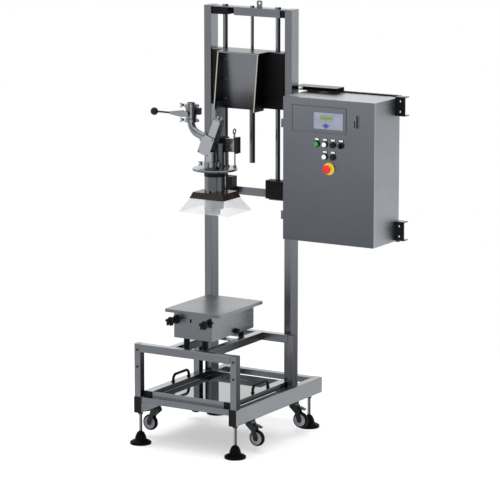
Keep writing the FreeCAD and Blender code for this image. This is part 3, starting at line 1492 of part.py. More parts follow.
# Bright flange of the drum with its eye bolt and the two tie rods on the disc
flange_half = drum_h / 2 - drum_flange_cut
flange = block(drum_right, flange_x1, drum_y - drum_d / 2 + cap_edge, drum_y + drum_d / 2 - cap_edge,
               drum_z - flange_half, drum_z + flange_half)
flange = flange.makeFillet(post_round, along(flange, RIGHT))
eye_x = flange_x1 - eye_from_cap
eye_z = drum_z + flange_half + eye_up
flange = flange.fuse(cyl(eye_stem_r, V(eye_x, drum_y, drum_z), eye_z - eye_r - drum_z))
flange = flange.fuse(Part.makeTorus(eye_r, eye_wire, V(eye_x, drum_y, eye_z), RIGHT))
for x in (drum_right + tie_r, drum_right + tie_r + tie_pitch):
    flange = flange.fuse(cyl(tie_r, V(x, drum_y, disc_top), drum_z - disc_top))
    flange = flange.fuse(cyl(tie_foot_r, V(x, drum_y, disc_top), tie_foot_h))
fits.append(flange)
fits.append(cyl(hood_knob_r, V(0, nozzle_y - hood_knob_y, hood_top_z), hood_knob_h))
save("pipe_clamps", fits)

# Lever: hub, flat tapered grip, stem and the butterfly disc on it
lever_mid_y = lever_y0 + lever_t / 2
wide_x = inlet_x - grip_wide_reach
end_x = inlet_x - grip_end_reach
grip = [(inlet_x, lever_z - stem_r), (wide_x, lever_z - grip_wide), (end_x, lever_z - grip_narrow),
        (end_x, lever_z + grip_narrow), (wide_x, lever_z + grip_wide), (inlet_x, lever_z + stem_r)]
lever = plate_xz(grip, lever_y0 + grip_recess, lever_t - 2 * grip_recess)
lever = lever.makeFillet(lever_round, along(lever, BACK))
ball_x = inlet_x - ball_reach
rod_x1 = end_x + ball_rod_depth
lever = lever.cut(cyl(ball_rod_r, V(ball_x, lever_mid_y, lever_z), rod_x1 - ball_x, RIGHT))
lever = lever.fuse(cyl(lever_hub_r, V(inlet_x, lever_y0, lever_z), lever_t, BACK))
lever = lever.fuse(cyl(stem_r, V(inlet_x, lever_mid_y, lever_z), stem_end - lever_mid_y, BACK))
lever = lever.fuse(cyl(seat_r - slip, V(inlet_x, inlet_y, lever_z - flap_t / 2), flap_t))
save("valve_lever", [lever])

# Ball knob on its rod, pressed into the end of the grip
knob = Part.makeSphere(ball_r, V(ball_x, lever_mid_y, lever_z))
save("lever_knob", [knob.fuse(cyl(ball_rod_r, V(ball_x, lever_mid_y, lever_z), rod_x1 - ball_x, RIGHT))])
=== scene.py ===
import math
import bmesh
import bpy
import numpy as np
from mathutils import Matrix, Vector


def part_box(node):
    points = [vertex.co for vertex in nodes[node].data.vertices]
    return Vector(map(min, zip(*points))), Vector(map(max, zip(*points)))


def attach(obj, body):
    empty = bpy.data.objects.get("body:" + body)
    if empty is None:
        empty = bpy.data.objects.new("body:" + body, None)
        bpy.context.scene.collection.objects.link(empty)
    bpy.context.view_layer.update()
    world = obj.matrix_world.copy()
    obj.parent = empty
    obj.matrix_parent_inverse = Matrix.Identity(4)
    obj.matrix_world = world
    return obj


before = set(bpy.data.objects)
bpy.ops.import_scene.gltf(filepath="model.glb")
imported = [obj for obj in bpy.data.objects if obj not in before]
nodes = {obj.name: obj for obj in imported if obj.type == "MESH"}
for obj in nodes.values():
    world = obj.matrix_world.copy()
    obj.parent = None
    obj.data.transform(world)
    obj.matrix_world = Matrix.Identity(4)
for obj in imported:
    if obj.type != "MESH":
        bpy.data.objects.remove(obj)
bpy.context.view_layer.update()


# The studio: a white surround and a matt white floor that keeps the soft shadow under the base,
# lit by two large soft boxes. Bare metal mirrors the even surround and not the boxes, so its
# tones come out as they are written.
def srgb(code):
    """Linear colour of a hex sRGB code."""
    parts = [int(code[i:i + 2], 16) / 255 for i in (1, 3, 5)]
    linear = [c / 12.92 if c <= 0.04045 else ((c + 0.055) / 1.055) ** 2.4 for c in parts]
    return (*linear, 1.0)


def feed(node, inputs):
    """Joins each named socket to an output, or sets it to a value or a hex colour."""
    for socket, value in inputs.items():
        if isinstance(value, bpy.types.NodeSocket):
            node.id_data.links.new(value, node.inputs[socket])
        else:
            node.inputs[socket].default_value = srgb(value) if isinstance(value, str) else value


def add_node(tree, kind, inputs, output=0, **settings):
    """Adds a shader node with its inputs and settings, and gives one of its outputs.

    A MapRange takes its value at 0, the range that it comes from at 1 and 2, and the range that
    it goes to at 3 and 4. A colour Mix takes its factor at 0 and its colours at 6 and 7.
    """
    node = tree.nodes.new("ShaderNode" + kind)
    for key, value in settings.items():
        setattr(node, key, value)
    feed(node, inputs)
    return node.outputs[output]


def shown_rays(tree):
    """One for rays from the camera, from a mirror or through clear sheet, else nothing."""
    rays = add_node(tree, "LightPath", {}).node.outputs
    mirrored = add_node(tree, "Math", {0: rays["Is Glossy Ray"], 1: rays["Is Transmission Ray"]},
                        operation="MAXIMUM")
    return add_node(tree, "Math", {0: rays["Is Camera Ray"], 1: mirrored}, operation="MAXIMUM")


def end_of(tree):
    """The tree's output node."""
    return next(node for node in tree.nodes if node.type.startswith("OUTPUT"))


def shader_of(material):
    """The material's Principled shader."""
    return next(node for node in material.node_tree.nodes if node.type == "BSDF_PRINCIPLED")


def new_material(name):
    """Material with its node tree and its Principled shader, joined to the output."""
    material = bpy.data.materials.new(name)
    material.use_nodes = True
    return material, material.node_tree, shader_of(material)


world = bpy.data.worlds.new("white_surround")
bpy.context.scene.world = world
world.use_nodes = True
sky = world.node_tree
studio_light = add_node(sky, "Background", {"Color": "#fbfcff", "Strength": 0.62})
white_paper = add_node(sky, "Background", {"Color": "#ffffff", "Strength": 1.0})
surround = add_node(sky, "MixShader", {0: shown_rays(sky), 1: studio_light, 2: white_paper})
feed(end_of(sky), {"Surface": surround})

floor_half = 30.0
floor_mesh = bpy.data.meshes.new("floor")
floor_mesh.from_pydata([(-floor_half, -floor_half, 0), (floor_half, -floor_half, 0),
                        (floor_half, floor_half, 0), (-floor_half, floor_half, 0)], [], [(0, 1, 2, 3)])
floor = bpy.data.objects.new("floor", floor_mesh)
bpy.context.scene.collection.objects.link(floor)
matt_white, tree, shader = new_material("matt_white_floor")
feed(shader, {"Base Color": "#fdfdfe", "Roughness": 0.95, "Specular IOR Level": 0.0})
shadow_radius, paper_radius, paper_share = 0.9, 2.6, 0.45
away = add_node(tree, "VectorMath", {0: add_node(tree, "TexCoord", {}, "Object")}, "Value",
                operation="LENGTH")
fade = add_node(tree, "MapRange", {0: away, 1: shadow_radius, 2: paper_radius, 3: paper_share},
                interpolation_type="SMOOTHSTEP")
share = add_node(tree, "Math", {0: shown_rays(tree), 1: fade}, operation="MULTIPLY")
paper = add_node(tree, "Emission", {"Color": "#ffffff", "Strength": 1.0})
ground = add_node(tree, "MixShader", {0: share, 1: shader.outputs[0], 2: paper})
feed(end_of(tree), {"Surface": ground})
floor_mesh.materials.append(matt_white)


def soft_box(name, place, aim, size, power):
    """Square soft box at a place, turned to a point, with its power in watts."""
    light = bpy.data.lights.new(name, "AREA")
    light.shape = "SQUARE"
    light.size = size
    light.energy = power
    holder = bpy.data.objects.new(name, light)
    bpy.context.scene.collection.objects.link(holder)
    way = Vector(aim) - Vector(place)
    holder.location = place
    holder.rotation_euler = way.to_track_quat("-Z", "Y").to_euler()
    holder.visible_glossy = False


soft_box("key_box", place=(3.5, -3.5, 5.0), aim=(0, 0, 0.9), size=4.0, power=170)
soft_box("top_box", place=(-0.5, 0.5, 6.0), aim=(0, 0, 1.0), size=5.0, power=330)


# The camera: a long lens from far off, a little to the right of the front and slightly above the
# middle of the machine, so that its upright tubes stay parallel.
lens, film_width, distance = 212.5, 36.0, 14.373
middle = Vector((0.1253, -0.009, 0.9399))
azimuth, elevation = math.radians(31.0027), math.radians(10.8115)
back = Vector((math.sin(azimuth) * math.cos(elevation), -math.cos(azimuth) * math.cos(elevation),
                  math.sin(elevation)))
camera_data = bpy.data.cameras.new("camera")
camera_data.sensor_width = film_width
camera_data.lens = lens
camera_data.clip_end = 100.0
camera = bpy.data.objects.new("camera", camera_data)
camera.location = middle + back * distance
camera.rotation_mode = "QUATERNION"
camera.rotation_quaternion = (-back).to_track_quat("-Z", "Y")
bpy.context.scene.collection.objects.link(camera)
bpy.context.scene.camera = camera


# Base, table, column, scale and arm: stainless sheet and box section, ground with a fine belt and
# welded or screwed. Their colours carry painted light and shade by the way each face looks: flat
# faces get a painted bright reflection, upright fronts are painted duller, and the side faces get
# their own painted tone, which on the tubes is painted dark as shade near the floor. Fine streaks
# run along each tube.
def ground_steel(name, grain, front, side, top, span=(0.2, 1.6), rough=0.3, streak_mm=7.0,
                 cloud_mm=200.0):
    """Belt-ground stainless with its grain along one axis of the object.

    front and side are (low, high) hex colours of painted shade that change over the heights of span,
    and top is the painted bright colour of faces that look up; faces are mixed between them by the
    way they look. Streaks are noise stretched forty to one along the grain; the real scratches of
    0.1 mm are drawn streak_mm wide so that they show from afar.
    """
    material, tree, shader = new_material(name)
    spot = add_node(tree, "TexCoord", {}).node.outputs
    place = spot["Object"]
    facing = add_node(tree, "SeparateXYZ", {0: spot["Normal"]}).node.outputs
    turned = add_node(tree, "Math", {0: facing["X"]}, operation="ABSOLUTE")
    sideways = add_node(tree, "MapRange", {0: turned, 1: 0.5, 2: 0.9})
    upwards = add_node(tree, "MapRange", {0: facing["Z"], 1: 0.4, 2: 0.85})
    level = add_node(tree, "SeparateXYZ", {0: place}, "Z")
    height = add_node(tree, "MapRange", {0: level, 1: span[0], 2: span[1]})
    front_painted_shade, side_painted_shade = [add_node(tree, "Mix", {0: height, 6: low, 7: high}, 2, data_type="RGBA")
                             for low, high in (front, side)]
    upright = add_node(tree, "Mix", {0: sideways, 6: front_painted_shade, 7: side_painted_shade}, 2, data_type="RGBA")
    tone = add_node(tree, "Mix", {0: upwards, 6: upright, 7: top}, 2, data_type="RGBA")
    fine, stretch = 1000.0 / streak_mm, 40
    scale = [fine / stretch if axis in grain else fine for axis in "XYZ"]
    drawn = add_node(tree, "Mapping", {"Vector": place, "Scale": scale})
    streaks = add_node(tree, "TexNoise", {"Vector": drawn, "Scale": 1.0, "Detail": 6.0,
                                          "Roughness": 0.62}, "Fac")
    clouds = add_node(tree, "TexNoise", {"Vector": place, "Scale": 1000.0 / cloud_mm, "Detail": 3.0}, "Fac")
    both = add_node(tree, "Math", {0: streaks, 1: clouds}, operation="ADD")
    shade = add_node(tree, "MapRange", {0: both, 1: 0.6, 2: 1.4, 3: 0.92, 4: 1.08})
    colour = add_node(tree, "VectorMath", {0: tone, "Scale": shade}, operation="SCALE")
    gloss = add_node(tree, "MapRange", {0: streaks, 1: 0.3, 2: 0.7, 3: rough - 0.06, 4: rough + 0.07})
    bump = add_node(tree, "Bump", {"Height": streaks, "Strength": 0.12, "Distance": 0.0004})
    feed(shader, {"Base Color": colour, "Roughness": gloss, "Metallic": 1.0, "Normal": bump})
    return material


def dress(material, *names):
    """Gives CAD nodes one material."""
    for name in names:
        mesh = nodes[name].data
        mesh.materials.clear()
        mesh.materials.append(material)


# Painted light and shade by facing: the side colours are painted tones, dark as shade low down on the tubes
# and posts, and the top colours are a painted bright reflection.
tube_front = ("#6e7176", "#73777c")
tube_side_painted_shade = ("#303336", "#8e9196")
flat_top_painted_light = "#9da0a2"
dress(ground_steel("ground_tube_depth_grain", "Y", tube_front, ("#85888b", "#909295"), "#a6a9ab"),
      "base_side_beams")
dress(ground_steel("ground_tube_cross_grain", "X", tube_front, tube_side_painted_shade, flat_top_painted_light),
      "base_crossbars", "column_beams")
dress(ground_steel("ground_table_rails", "XY", ("#72757a", "#72757a"), ("#3f4245", "#66696c"), "#bdc0c2"),
      "table_rails")
dress(ground_steel("ground_table_posts", "Z", ("#707276", "#727478"), ("#202224", "#4c4e51"), flat_top_painted_light,
                   span=(0.25, 0.5)), "table_posts")
dress(ground_steel("ground_column_posts", "Z", tube_front, ("#46484c", "#8e9196"), flat_top_painted_light,
                   span=(0.3, 1.7)), "column_posts")
dress(ground_steel("ground_scale_housing", "XY", ("#6f7378", "#6f7378"), ("#87898d", "#87898d"), "#929597"),
      "scale_housing", "scale_platform")
dress(ground_steel("ground_arm", "XZ", ("#5f6266", "#5f6266"), ("#3a3c3f", "#54575a"), flat_top_painted_light),
      "head_arm")


# Carriage: ground plates welded together, with two tapered gussets. The front edges of the
# gussets carry a painted cream-white highlight, and the front plate is painted darker low down
# as shade from the head.
def box_mask(tree, **limits):
    """One where the place lies between the two limits of each named axis, else nothing."""
    axes = add_node(tree, "SeparateXYZ", {0: add_node(tree, "TexCoord", {}, "Object")}).node.outputs
    mask = None
    for axis, (low, high) in limits.items():
        near = add_node(tree, "Math", {0: axes[axis], 1: (low + high) / 2, 2: (high - low) / 2},
                        operation="COMPARE")
        mask = near if mask is None else add_node(tree, "Math", {0: mask, 1: near}, operation="MULTIPLY")
    return mask


def paint_over(material, mask, colour):
    """Lays one colour over the material's own wherever the mask is one."""
    shader = shader_of(material)
    own = shader.inputs["Base Color"].links[0].from_socket
    both = add_node(material.node_tree, "Mix", {0: mask, 6: own, 7: colour}, 2, data_type="RGBA")
    feed(shader, {"Base Color": both})


carriage_low, carriage_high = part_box("carriage_plates")
shaded_height, edge_depth, edge_below_top = 0.1, 0.042, 0.005
# Painted shade: the front plate darker low down and the sides near-black.
carriage_steel = ground_steel("ground_carriage_plates", "Z", ("#36383c", "#787a7f"),
                              ("#191a1c", "#2c2e30"), "#84878a",
                              span=(carriage_low[2], carriage_low[2] + shaded_height), streak_mm=3.0)
tree = carriage_steel.node_tree
# Painted highlight on the forward-looking faces along the gussets' front edges.
nose = box_mask(tree, Y=(carriage_low[1] - edge_depth, carriage_low[1] + edge_depth),
                Z=(carriage_low[2] - edge_depth, carriage_high[2] - edge_below_top))
facing_y = add_node(tree, "SeparateXYZ", {0: add_node(tree, "TexCoord", {}, "Normal")}, "Y")
forward = add_node(tree, "Math", {0: facing_y, 1: -0.7}, operation="LESS_THAN")
painted_edge_highlight = add_node(tree, "Math", {0: nose, 1: forward}, operation="MULTIPLY")
paint_over(carriage_steel, painted_edge_highlight, "#b9b7a9")
dress(carriage_steel, "carriage_plates")


# Cabinet: folded stainless sheet, ground crossways, with a welded shell and a hinged door. Its
# front is painted lighter at the top and darker below, as a painted reflection that dims downwards,
# and its sides and top are painted lighter by the way they face. A thin rubber line seals the
# window rim.
cabinet_low, cabinet_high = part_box("cabinet_door")
cabinet_span = (cabinet_low[2], cabinet_high[2])
# Painted light on the sides and top of the cabinet and door.
cabinet_side_painted_light, cabinet_top_painted_light = ("#a3a6ab", "#93969a"), "#cbcfd2"
dress(ground_steel("ground_cabinet_body", "XY", ("#50535a", "#74787d"), cabinet_side_painted_light, cabinet_top_painted_light,
                   cabinet_span, rough=0.45), "cabinet_body")
door_steel = ground_steel("ground_cabinet_door", "XY", ("#585b61", "#74787e"), cabinet_side_painted_light, cabinet_top_painted_light,
                          cabinet_span)
window_from_edge, window_w, window_from_top, window_h, seal_w = 0.057, 0.301, 0.038, 0.124, 0.0016
window_left = cabinet_low[0] + window_from_edge
window_right = window_left + window_w
window_upper = cabinet_high[2] - window_from_top
window_lower = window_upper - window_h
tree = door_steel.node_tree
outer = box_mask(tree, X=(window_left - seal_w, window_right + seal_w),
                 Z=(window_lower - seal_w, window_upper + seal_w))
inner = box_mask(tree, X=(window_left, window_right), Z=(window_lower, window_upper))
seal_line = add_node(tree, "Math", {0: outer, 1: inner}, operation="SUBTRACT")
paint_over(door_steel, seal_line, "#34363a")
dress(door_steel, "cabinet_door")


# Turned and bent stainless: nozzle, elbow, valve body, clamps, lever and rods, polished after
# turning. Round parts carry upright bright and dark bands, as polished tube does under soft
# boxes, here by the direction that the surface faces; flat tops are bright, undersides dark.
def polished_steel(name, bands, top, under, rough=0.12, marks_mm=2.0, soil_mm=55.6):
    """Polished stainless; bands are (place from -1 to 1, hex colour) across the facing in X.

    The real polishing marks are finer than 0.1 mm and are drawn marks_mm wide, so that they show.
    """
    material, tree, shader = new_material(name)
    spot = add_node(tree, "TexCoord", {}).node.outputs
    place = spot["Object"]
    facing = add_node(tree, "SeparateXYZ", {0: spot["Normal"]}).node.outputs
    # Painted reflections: the bands follow the way the surface faces, and the top and under colours are
    # painted light above and painted shade below.
    across = add_node(tree, "MapRange", {0: facing["X"], 1: -1.0, 2: 1.0})
    tone = add_node(tree, "ValToRGB", {0: across})
    stops = tone.node.color_ramp.elements
    while len(stops) < len(bands):
        stops.new(0.5)
    for stop, (way, colour) in zip(stops, bands):
        stop.position = (way + 1) / 2
        stop.color = srgb(colour)
    for way, colour in ((1, top), (-1, under)):
        flat = add_node(tree, "MapRange", {0: facing["Z"], 1: 0.45 * way, 2: 0.9 * way})
        tone = add_node(tree, "Mix", {0: flat, 6: tone, 7: colour}, 2, data_type="RGBA")
    soil = add_node(tree, "TexNoise", {"Vector": place, "Scale": 1000.0 / soil_mm, "Detail": 4.0}, "Fac")
    shade = add_node(tree, "MapRange", {0: soil, 1: 0.3, 2: 0.7, 3: 0.9, 4: 1.08})
    shaded = add_node(tree, "VectorMath", {0: tone, "Scale": shade}, operation="SCALE")
    gloss = add_node(tree, "MapRange", {0: soil, 1: 0.3, 2: 0.7, 3: rough, 4: rough + 0.1})
    marks = add_node(tree, "TexNoise", {"Vector": place, "Scale": 1000.0 / marks_mm, "Detail": 4.0}, "Fac")
    bump = add_node(tree, "Bump", {"Height": marks, "Strength": 0.05, "Distance": 0.0002})
    feed(shader, {"Base Color": shaded, "Roughness": gloss, "Metallic": 1.0, "Normal": bump})
    return material


bright_bands = ((-1.0, "#2c2e31"), (-0.76, "#8b8e91"), (-0.5, "#f0f2f3"), (-0.25, "#6f7275"),
                (-0.06, "#929598"), (0.06, "#929598"), (0.25, "#3f4245"), (0.5, "#a9acad"),
                (0.75, "#2a2c2f"), (1.0, "#56595c"))
dress(polished_steel("polished_stainless", bright_bands, "#d4d7d8", "#4d5053"),
      "nozzle_plunger", "inlet_elbow", "butterfly_body", "pipe_clamps", "valve_lever")
barrel_bands = ((-1.0, "#2e3033"), (-0.7, "#4a4c4f"), (-0.35, "#85888b"), (-0.1, "#5d6063"),
                (0.5, "#5a5c5f"), (0.62, "#595b5e"), (0.67, "#232527"), (0.71, "#5f6266"), (1.0, "#66696e"))
dress(polished_steel("polished_nozzle_barrel", barrel_bands, "#a9acae", "#4b4e50", rough=0.16),
      "nozzle_barrel")
rod_bands = ((-1.0, "#232527"), (-0.55, "#6a6d70"), (-0.2, "#9a9da0"), (0.1, "#75787b"),
             (0.5, "#47494c"), (1.0, "#1a1c1d"))
dress(polished_steel("hard_chromed_rod", rod_bands, "#c5c8c9", "#4d5053", rough=0.08), "column_rods")
dress(polished_steel("drawn_stainless_tube", rod_bands, "#c5c8c9", "#4d5053", rough=0.2), "lift_barrel")
screw_steel = polished_steel("pressed_screw_steel", ((-1.0, "#1d1e20"), (0.0, "#36383a"), (1.0, "#26282a")),
                             "#9a9d9f", "#26282a", rough=0.2)
dress(screw_steel, "frame_bolts")


# Drip tray: thin stainless sheet with a mirror-ground floor and two folded hollow rims.
# The floor mirrors what stands over it; the outer faces are painted duller and the inner walls
# are painted dark, as shade, by the way they face.
tray_low, tray_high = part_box("tray_pan")
tray_steel = ground_steel("ground_tray_sheet", "XY", ("#6c6d72", "#727479"), ("#2f3134", "#3f4145"),
                          "#a8abad", (tray_low[2], tray_high[2]), rough=0.2)
pan_half, pan_under, pan_over, mirror_rough = 0.2045, 0.001, 0.003, 0.05
tree = tray_steel.node_tree
pan = box_mask(tree, X=(-pan_half, pan_half), Z=(tray_low[2] + pan_under, tray_low[2] + pan_over),
               Y=(tray_low[1], tray_high[1]))
paint_over(tray_steel, pan, "#a3a6a5")
ground_gloss = shader_of(tray_steel).inputs["Roughness"].links[0].from_socket
beside_pan = add_node(tree, "Math", {0: 1.0, 1: pan}, operation="SUBTRACT")
gloss = add_node(tree, "Math", {0: ground_gloss, 1: beside_pan}, operation="MULTIPLY")
gloss = add_node(tree, "Math", {0: gloss, 1: mirror_rough}, operation="MAXIMUM")
feed(shader_of(tray_steel), {"Roughness": gloss})
dress(tray_steel, "tray_pan")


# Black moulded nylon and plastic: caps, guide blocks, handles, knobs, bezels and scale feet.
# A fine eroded mould grain takes the shine off, so edges catch only a soft light.
def moulded(name, colour, rough=0.42, grain_mm=1.2, shine=0.5, wear_mm=45.5):
    """Moulded plastic: faint colour variation over wear_mm and an eroded grain.

    The real grain is about 0.1 mm and is drawn grain_mm wide, so that it shows.
    """
    material, tree, shader = new_material(name)
    place = add_node(tree, "TexCoord", {}, "Object")
    wear = add_node(tree, "TexNoise", {"Vector": place, "Scale": 1000.0 / wear_mm, "Detail": 4.0}, "Fac")
    shade = add_node(tree, "MapRange", {0: wear, 1: 0.25, 2: 0.75, 3: 0.86, 4: 1.12})
    tone = add_node(tree, "VectorMath", {0: srgb(colour)[:3], "Scale": shade}, operation="SCALE")
    gloss = add_node(tree, "MapRange", {0: wear, 1: 0.3, 2: 0.7, 3: rough - 0.05, 4: rough + 0.07})
    grain = add_node(tree, "TexNoise", {"Vector": place, "Scale": 1000.0 / grain_mm, "Detail": 3.0}, "Fac")
    bump = add_node(tree, "Bump", {"Height": grain, "Strength": 0.15, "Distance": 0.0003})
    feed(shader, {"Base Color": tone, "Roughness": gloss, "Normal": bump, "Specular IOR Level": shine})
    return material


dress(moulded("black_moulded_nylon", "#0b0b0c", 0.45, shine=0.16), "beam_end_caps", "rod_blocks",
      "guide_blocks", "tray_handles", "nozzle_collar", "star_knobs_left", "star_knobs_right", "scale_feet")
dress(moulded("black_glossy_plastic", "#080809", 0.22, grain_mm=2.0, shine=0.28), "arm_drum", "lever_knob",
      "selector_switch", "black_button_upper", "black_button_lower", "control_bezels")


# Weld seams of the base: a fine rippled bead in each corner where a crossbar, a column post or
# a table post meets a side beam, laid by hand and brushed, a little darker than the tube.
def weld_bead(start, end, radius=0.0018, ripple_pitch=0.0016):
    """Bead along a straight corner from start to end.

    Ring centres run evenly along the line; a ring's radius is the bead's radius times
    0.9 + 0.1 cos(turns of the ripple), drawn in over the last radius of length at both ends.
    Gives the points, the ring count and the count round a ring.
    """
    start, end = np.array(start), np.array(end)
    length = np.linalg.norm(end - start)
    way = (end - start) / length
    side = np.cross(way, [0.577, 0.577, 0.577])
    side /= np.linalg.norm(side)
    over = np.cross(way, side)
    rings = int(length / ripple_pitch * 4)
    along = np.linspace(0.0, length, rings)
    from_end = np.minimum(along, length - along)
    shape = 0.9 + 0.1 * np.cos(2 * np.pi * along / ripple_pitch)
    size = radius * shape * np.sqrt(np.clip(from_end / radius, 0.1, 1.0))
    turn = np.linspace(0.0, 2 * np.pi, 8, endpoint=False)
    circle = np.cos(turn)[:, None] * side + np.sin(turn)[:, None] * over
    points = start + along[:, None, None] * way + size[:, None, None] * circle[None]
    return points.reshape(-1, 3), rings, len(turn)


def tube_faces(rings, around, first):
    """Four-sided faces between neighbouring rings, and one face over each open end."""
    row, step = np.meshgrid(np.arange(rings - 1), np.arange(around), indexing="ij")
    here = first + row * around + step
    beside = first + row * around + (step + 1) % around
    sides = np.stack([here, beside, beside + around, here + around], axis=-1).reshape(-1, 4)
    last = first + (rings - 1) * around
    caps = [list(range(first + around - 1, first - 1, -1)), list(range(last, last + around))]
    return sides.tolist() + caps


def new_piece(name, points, faces, material, body, smooth=True):
    """Makes a mesh object at the origin, its faces turned outwards, that rides on a body."""
    mesh = bpy.data.meshes.new(name)
    mesh.from_pydata(points, [], faces)
    shell = bmesh.new()
    shell.from_mesh(mesh)
    bmesh.ops.recalc_face_normals(shell, faces=shell.faces)
    shell.to_mesh(mesh)
    shell.free()
    mesh.polygons.foreach_set("use_smooth", [smooth] * len(mesh.polygons))
    mesh.materials.append(material)
    piece = bpy.data.objects.new(name, mesh)
    bpy.context.scene.collection.objects.link(piece)
    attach(piece, body)
    return piece


beam_inner, beam_low, beam_high = 0.25, 0.16, 0.24
bar_fronts, bar_depth, bar_low = (-0.41, 0.126, 0.371), 0.04, beam_high - 0.03
column_front, column_back = 0.175, 0.245
post_fronts, post_depth, post_inner, post_outer = (-0.41, 0.13), 0.038, 0.255, 0.289
seams = []
for side in (-1, 1):
    x = side * beam_inner
    for bar_front in bar_fronts:
        for y in (bar_front, bar_front + bar_depth):
            seams.append(((x, y, bar_low), (x, y, beam_high)))
        seams.append(((x, bar_front, bar_low), (x, bar_front + bar_depth, bar_low)))
    for y in (column_front, column_back):
        seams.append(((x, y, beam_low), (x, y, beam_high)))
    seams.append(((x, column_front, beam_high), (x, column_back, beam_high)))
    inner, outer = side * post_inner, side * post_outer
    for post_front in post_fronts:
        for y in (post_front, post_front + post_depth):
            seams.append(((inner, y, beam_high), (outer, y, beam_high)))
        seams.append(((inner, post_front, beam_high), (inner, post_front + post_depth, beam_high)))
bead_points, bead_faces, first = [], [], 0
for start, end in seams:
    points, rings, around = weld_bead(start, end)
    bead_points.append(points)
    bead_faces += tube_faces(rings, around, first)
    first += len(points)
# Painted reflection bands on the bead by the way it faces, with painted light on top and painted shade
# underneath.
seam_steel = polished_steel("brushed_weld_seam", ((-1.0, "#4d4f52"), (0.0, "#63666a"), (1.0, "#7c7f82")),
                            "#75787b", "#3a3c3f", rough=0.35)
beads = new_piece("weld_seams", np.concatenate(bead_points), bead_faces, seam_steel, "frame")


# Door seal: a strip of foam rubber glued inside the door, which closes on the cabinet's lip.
# It is matt black, with a rounded crest, and runs round all four sides with round corners.
def seal_ring(x_limits, z_limits, corner, y_root, y_crest, half_width, per_corner=8, crest_steps=7):
    """Strip carried round a rectangle with round corners.

    The path is four quarter circles joined by straight runs. The profile stands on the door at
    y_root and ends in a half circle at y_crest; grid points are path place + outward way times
    the profile's width + depth along Y.
    """
    quarter = np.repeat(np.arange(4), per_corner)
    turn = np.tile(np.linspace(0, np.pi / 2, per_corner), 4) + quarter * np.pi / 2
    outward = np.stack([np.cos(turn), np.zeros_like(turn), np.sin(turn)], axis=-1)
    centre_x = np.where((quarter == 0) | (quarter == 3), x_limits[1] - corner, x_limits[0] + corner)
    centre_z = np.where(quarter < 2, z_limits[1] - corner, z_limits[0] + corner)
    path = np.stack([centre_x, np.zeros_like(turn), centre_z], axis=-1) + corner * outward
    lean = np.linspace(-np.pi / 2, np.pi / 2, crest_steps)
    across = np.concatenate([[-half_width], half_width * np.sin(lean), [half_width]])
    depth = np.concatenate([[y_root], y_crest - half_width + half_width * np.cos(lean), [y_root]])
    grid = path[:, None, :] + across[None, :, None] * outward[:, None, :]
    grid[:, :, 1] += depth[None, :]
    return grid


def ring_faces(rings, around):
    """Four-sided faces between neighbouring rings, the last ring joined to the first."""
    row, step = np.meshgrid(np.arange(rings), np.arange(around), indexing="ij")
    here, there = row * around, (row + 1) % rings * around
    after = (step + 1) % around
    return np.stack([here + step, there + step, there + after, here + after], axis=-1).reshape(-1, 4)


seal_from_hinge, seal_from_edge, seal_corner = 0.024, 0.009, 0.01
seal_root, seal_crest, seal_half = 0.039, 0.0572, 0.004
seal = seal_ring((cabinet_low[0] + seal_from_hinge, cabinet_high[0] - seal_from_edge),
                 (cabinet_low[2] + seal_from_edge, cabinet_high[2] - seal_from_edge),
                 seal_corner, seal_root, seal_crest, seal_half)
foam_rubber = moulded("black_foam_rubber", "#0d0d0e", 0.7, grain_mm=0.8, shine=0.15)
seal_piece = new_piece("door_seal", seal.reshape(-1, 3), ring_faces(*seal.shape[:2]).tolist(), foam_rubber,
                       "door")


# Cabinet carriers: two black coated steel channels and two folded brackets with screw holes.
# The coating is dark grey on the webs, painted darker still on faces that look to the side, and
# the flat flanges that look up carry a painted light sheen.
def black_coated(name):
    """Powder-coated steel sheet."""
    # Painted sheen on faces that look up and painted shade on faces that look to the side.
    return ground_steel(name, "XY", ("#2c2e30", "#2c2e30"), ("#1c1d1f", "#1c1d1f"), "#8d9091",
                        rough=0.35, streak_mm=3.0)


dress(black_coated("black_coated_carriers"), "cabinet_mounts")


# Rear rails: two folded angles screwed along the back of the cabinet, one at its top edge and
# one at its bottom. They are coated like the carriers and end at the drilled side brackets.
def swept_profile(profile, start, end):
    """Closed outline of (y, z) points carried straight along X from start to end.

    Point (i, k) lies at x = start or end for i = 0 or 1 and at the outline's point k.
    """
    outline = np.array(profile)
    grid = np.empty((2, len(outline), 3))
    grid[:, :, 0] = np.array([start, end])[:, None]
    grid[:, :, 1:] = outline[None]
    return grid.reshape(-1, 3)


def screw_heads(places, rings, around, radius=0.0045, height=0.0024):
    """Button heads that look back along +Y, each with its middle at a place.

    A head is a dome: at angle t from 0 to a quarter turn the ring has the radius r cos(t) and
    stands h sin(t) off the face. Gives the points of all heads at once.
    """
    t = np.linspace(0.0, np.pi / 2 * 0.98, rings)
    turn = np.linspace(0.0, 2 * np.pi, around, endpoint=False)
    head = np.stack([radius * np.cos(t)[:, None] * np.cos(turn),
                     np.repeat(height * np.sin(t)[:, None], around, axis=1),
                     -radius * np.cos(t)[:, None] * np.sin(turn)], axis=-1).reshape(-1, 3)
    return (np.array(places)[:, None, :] + head[None]).reshape(-1, 3)


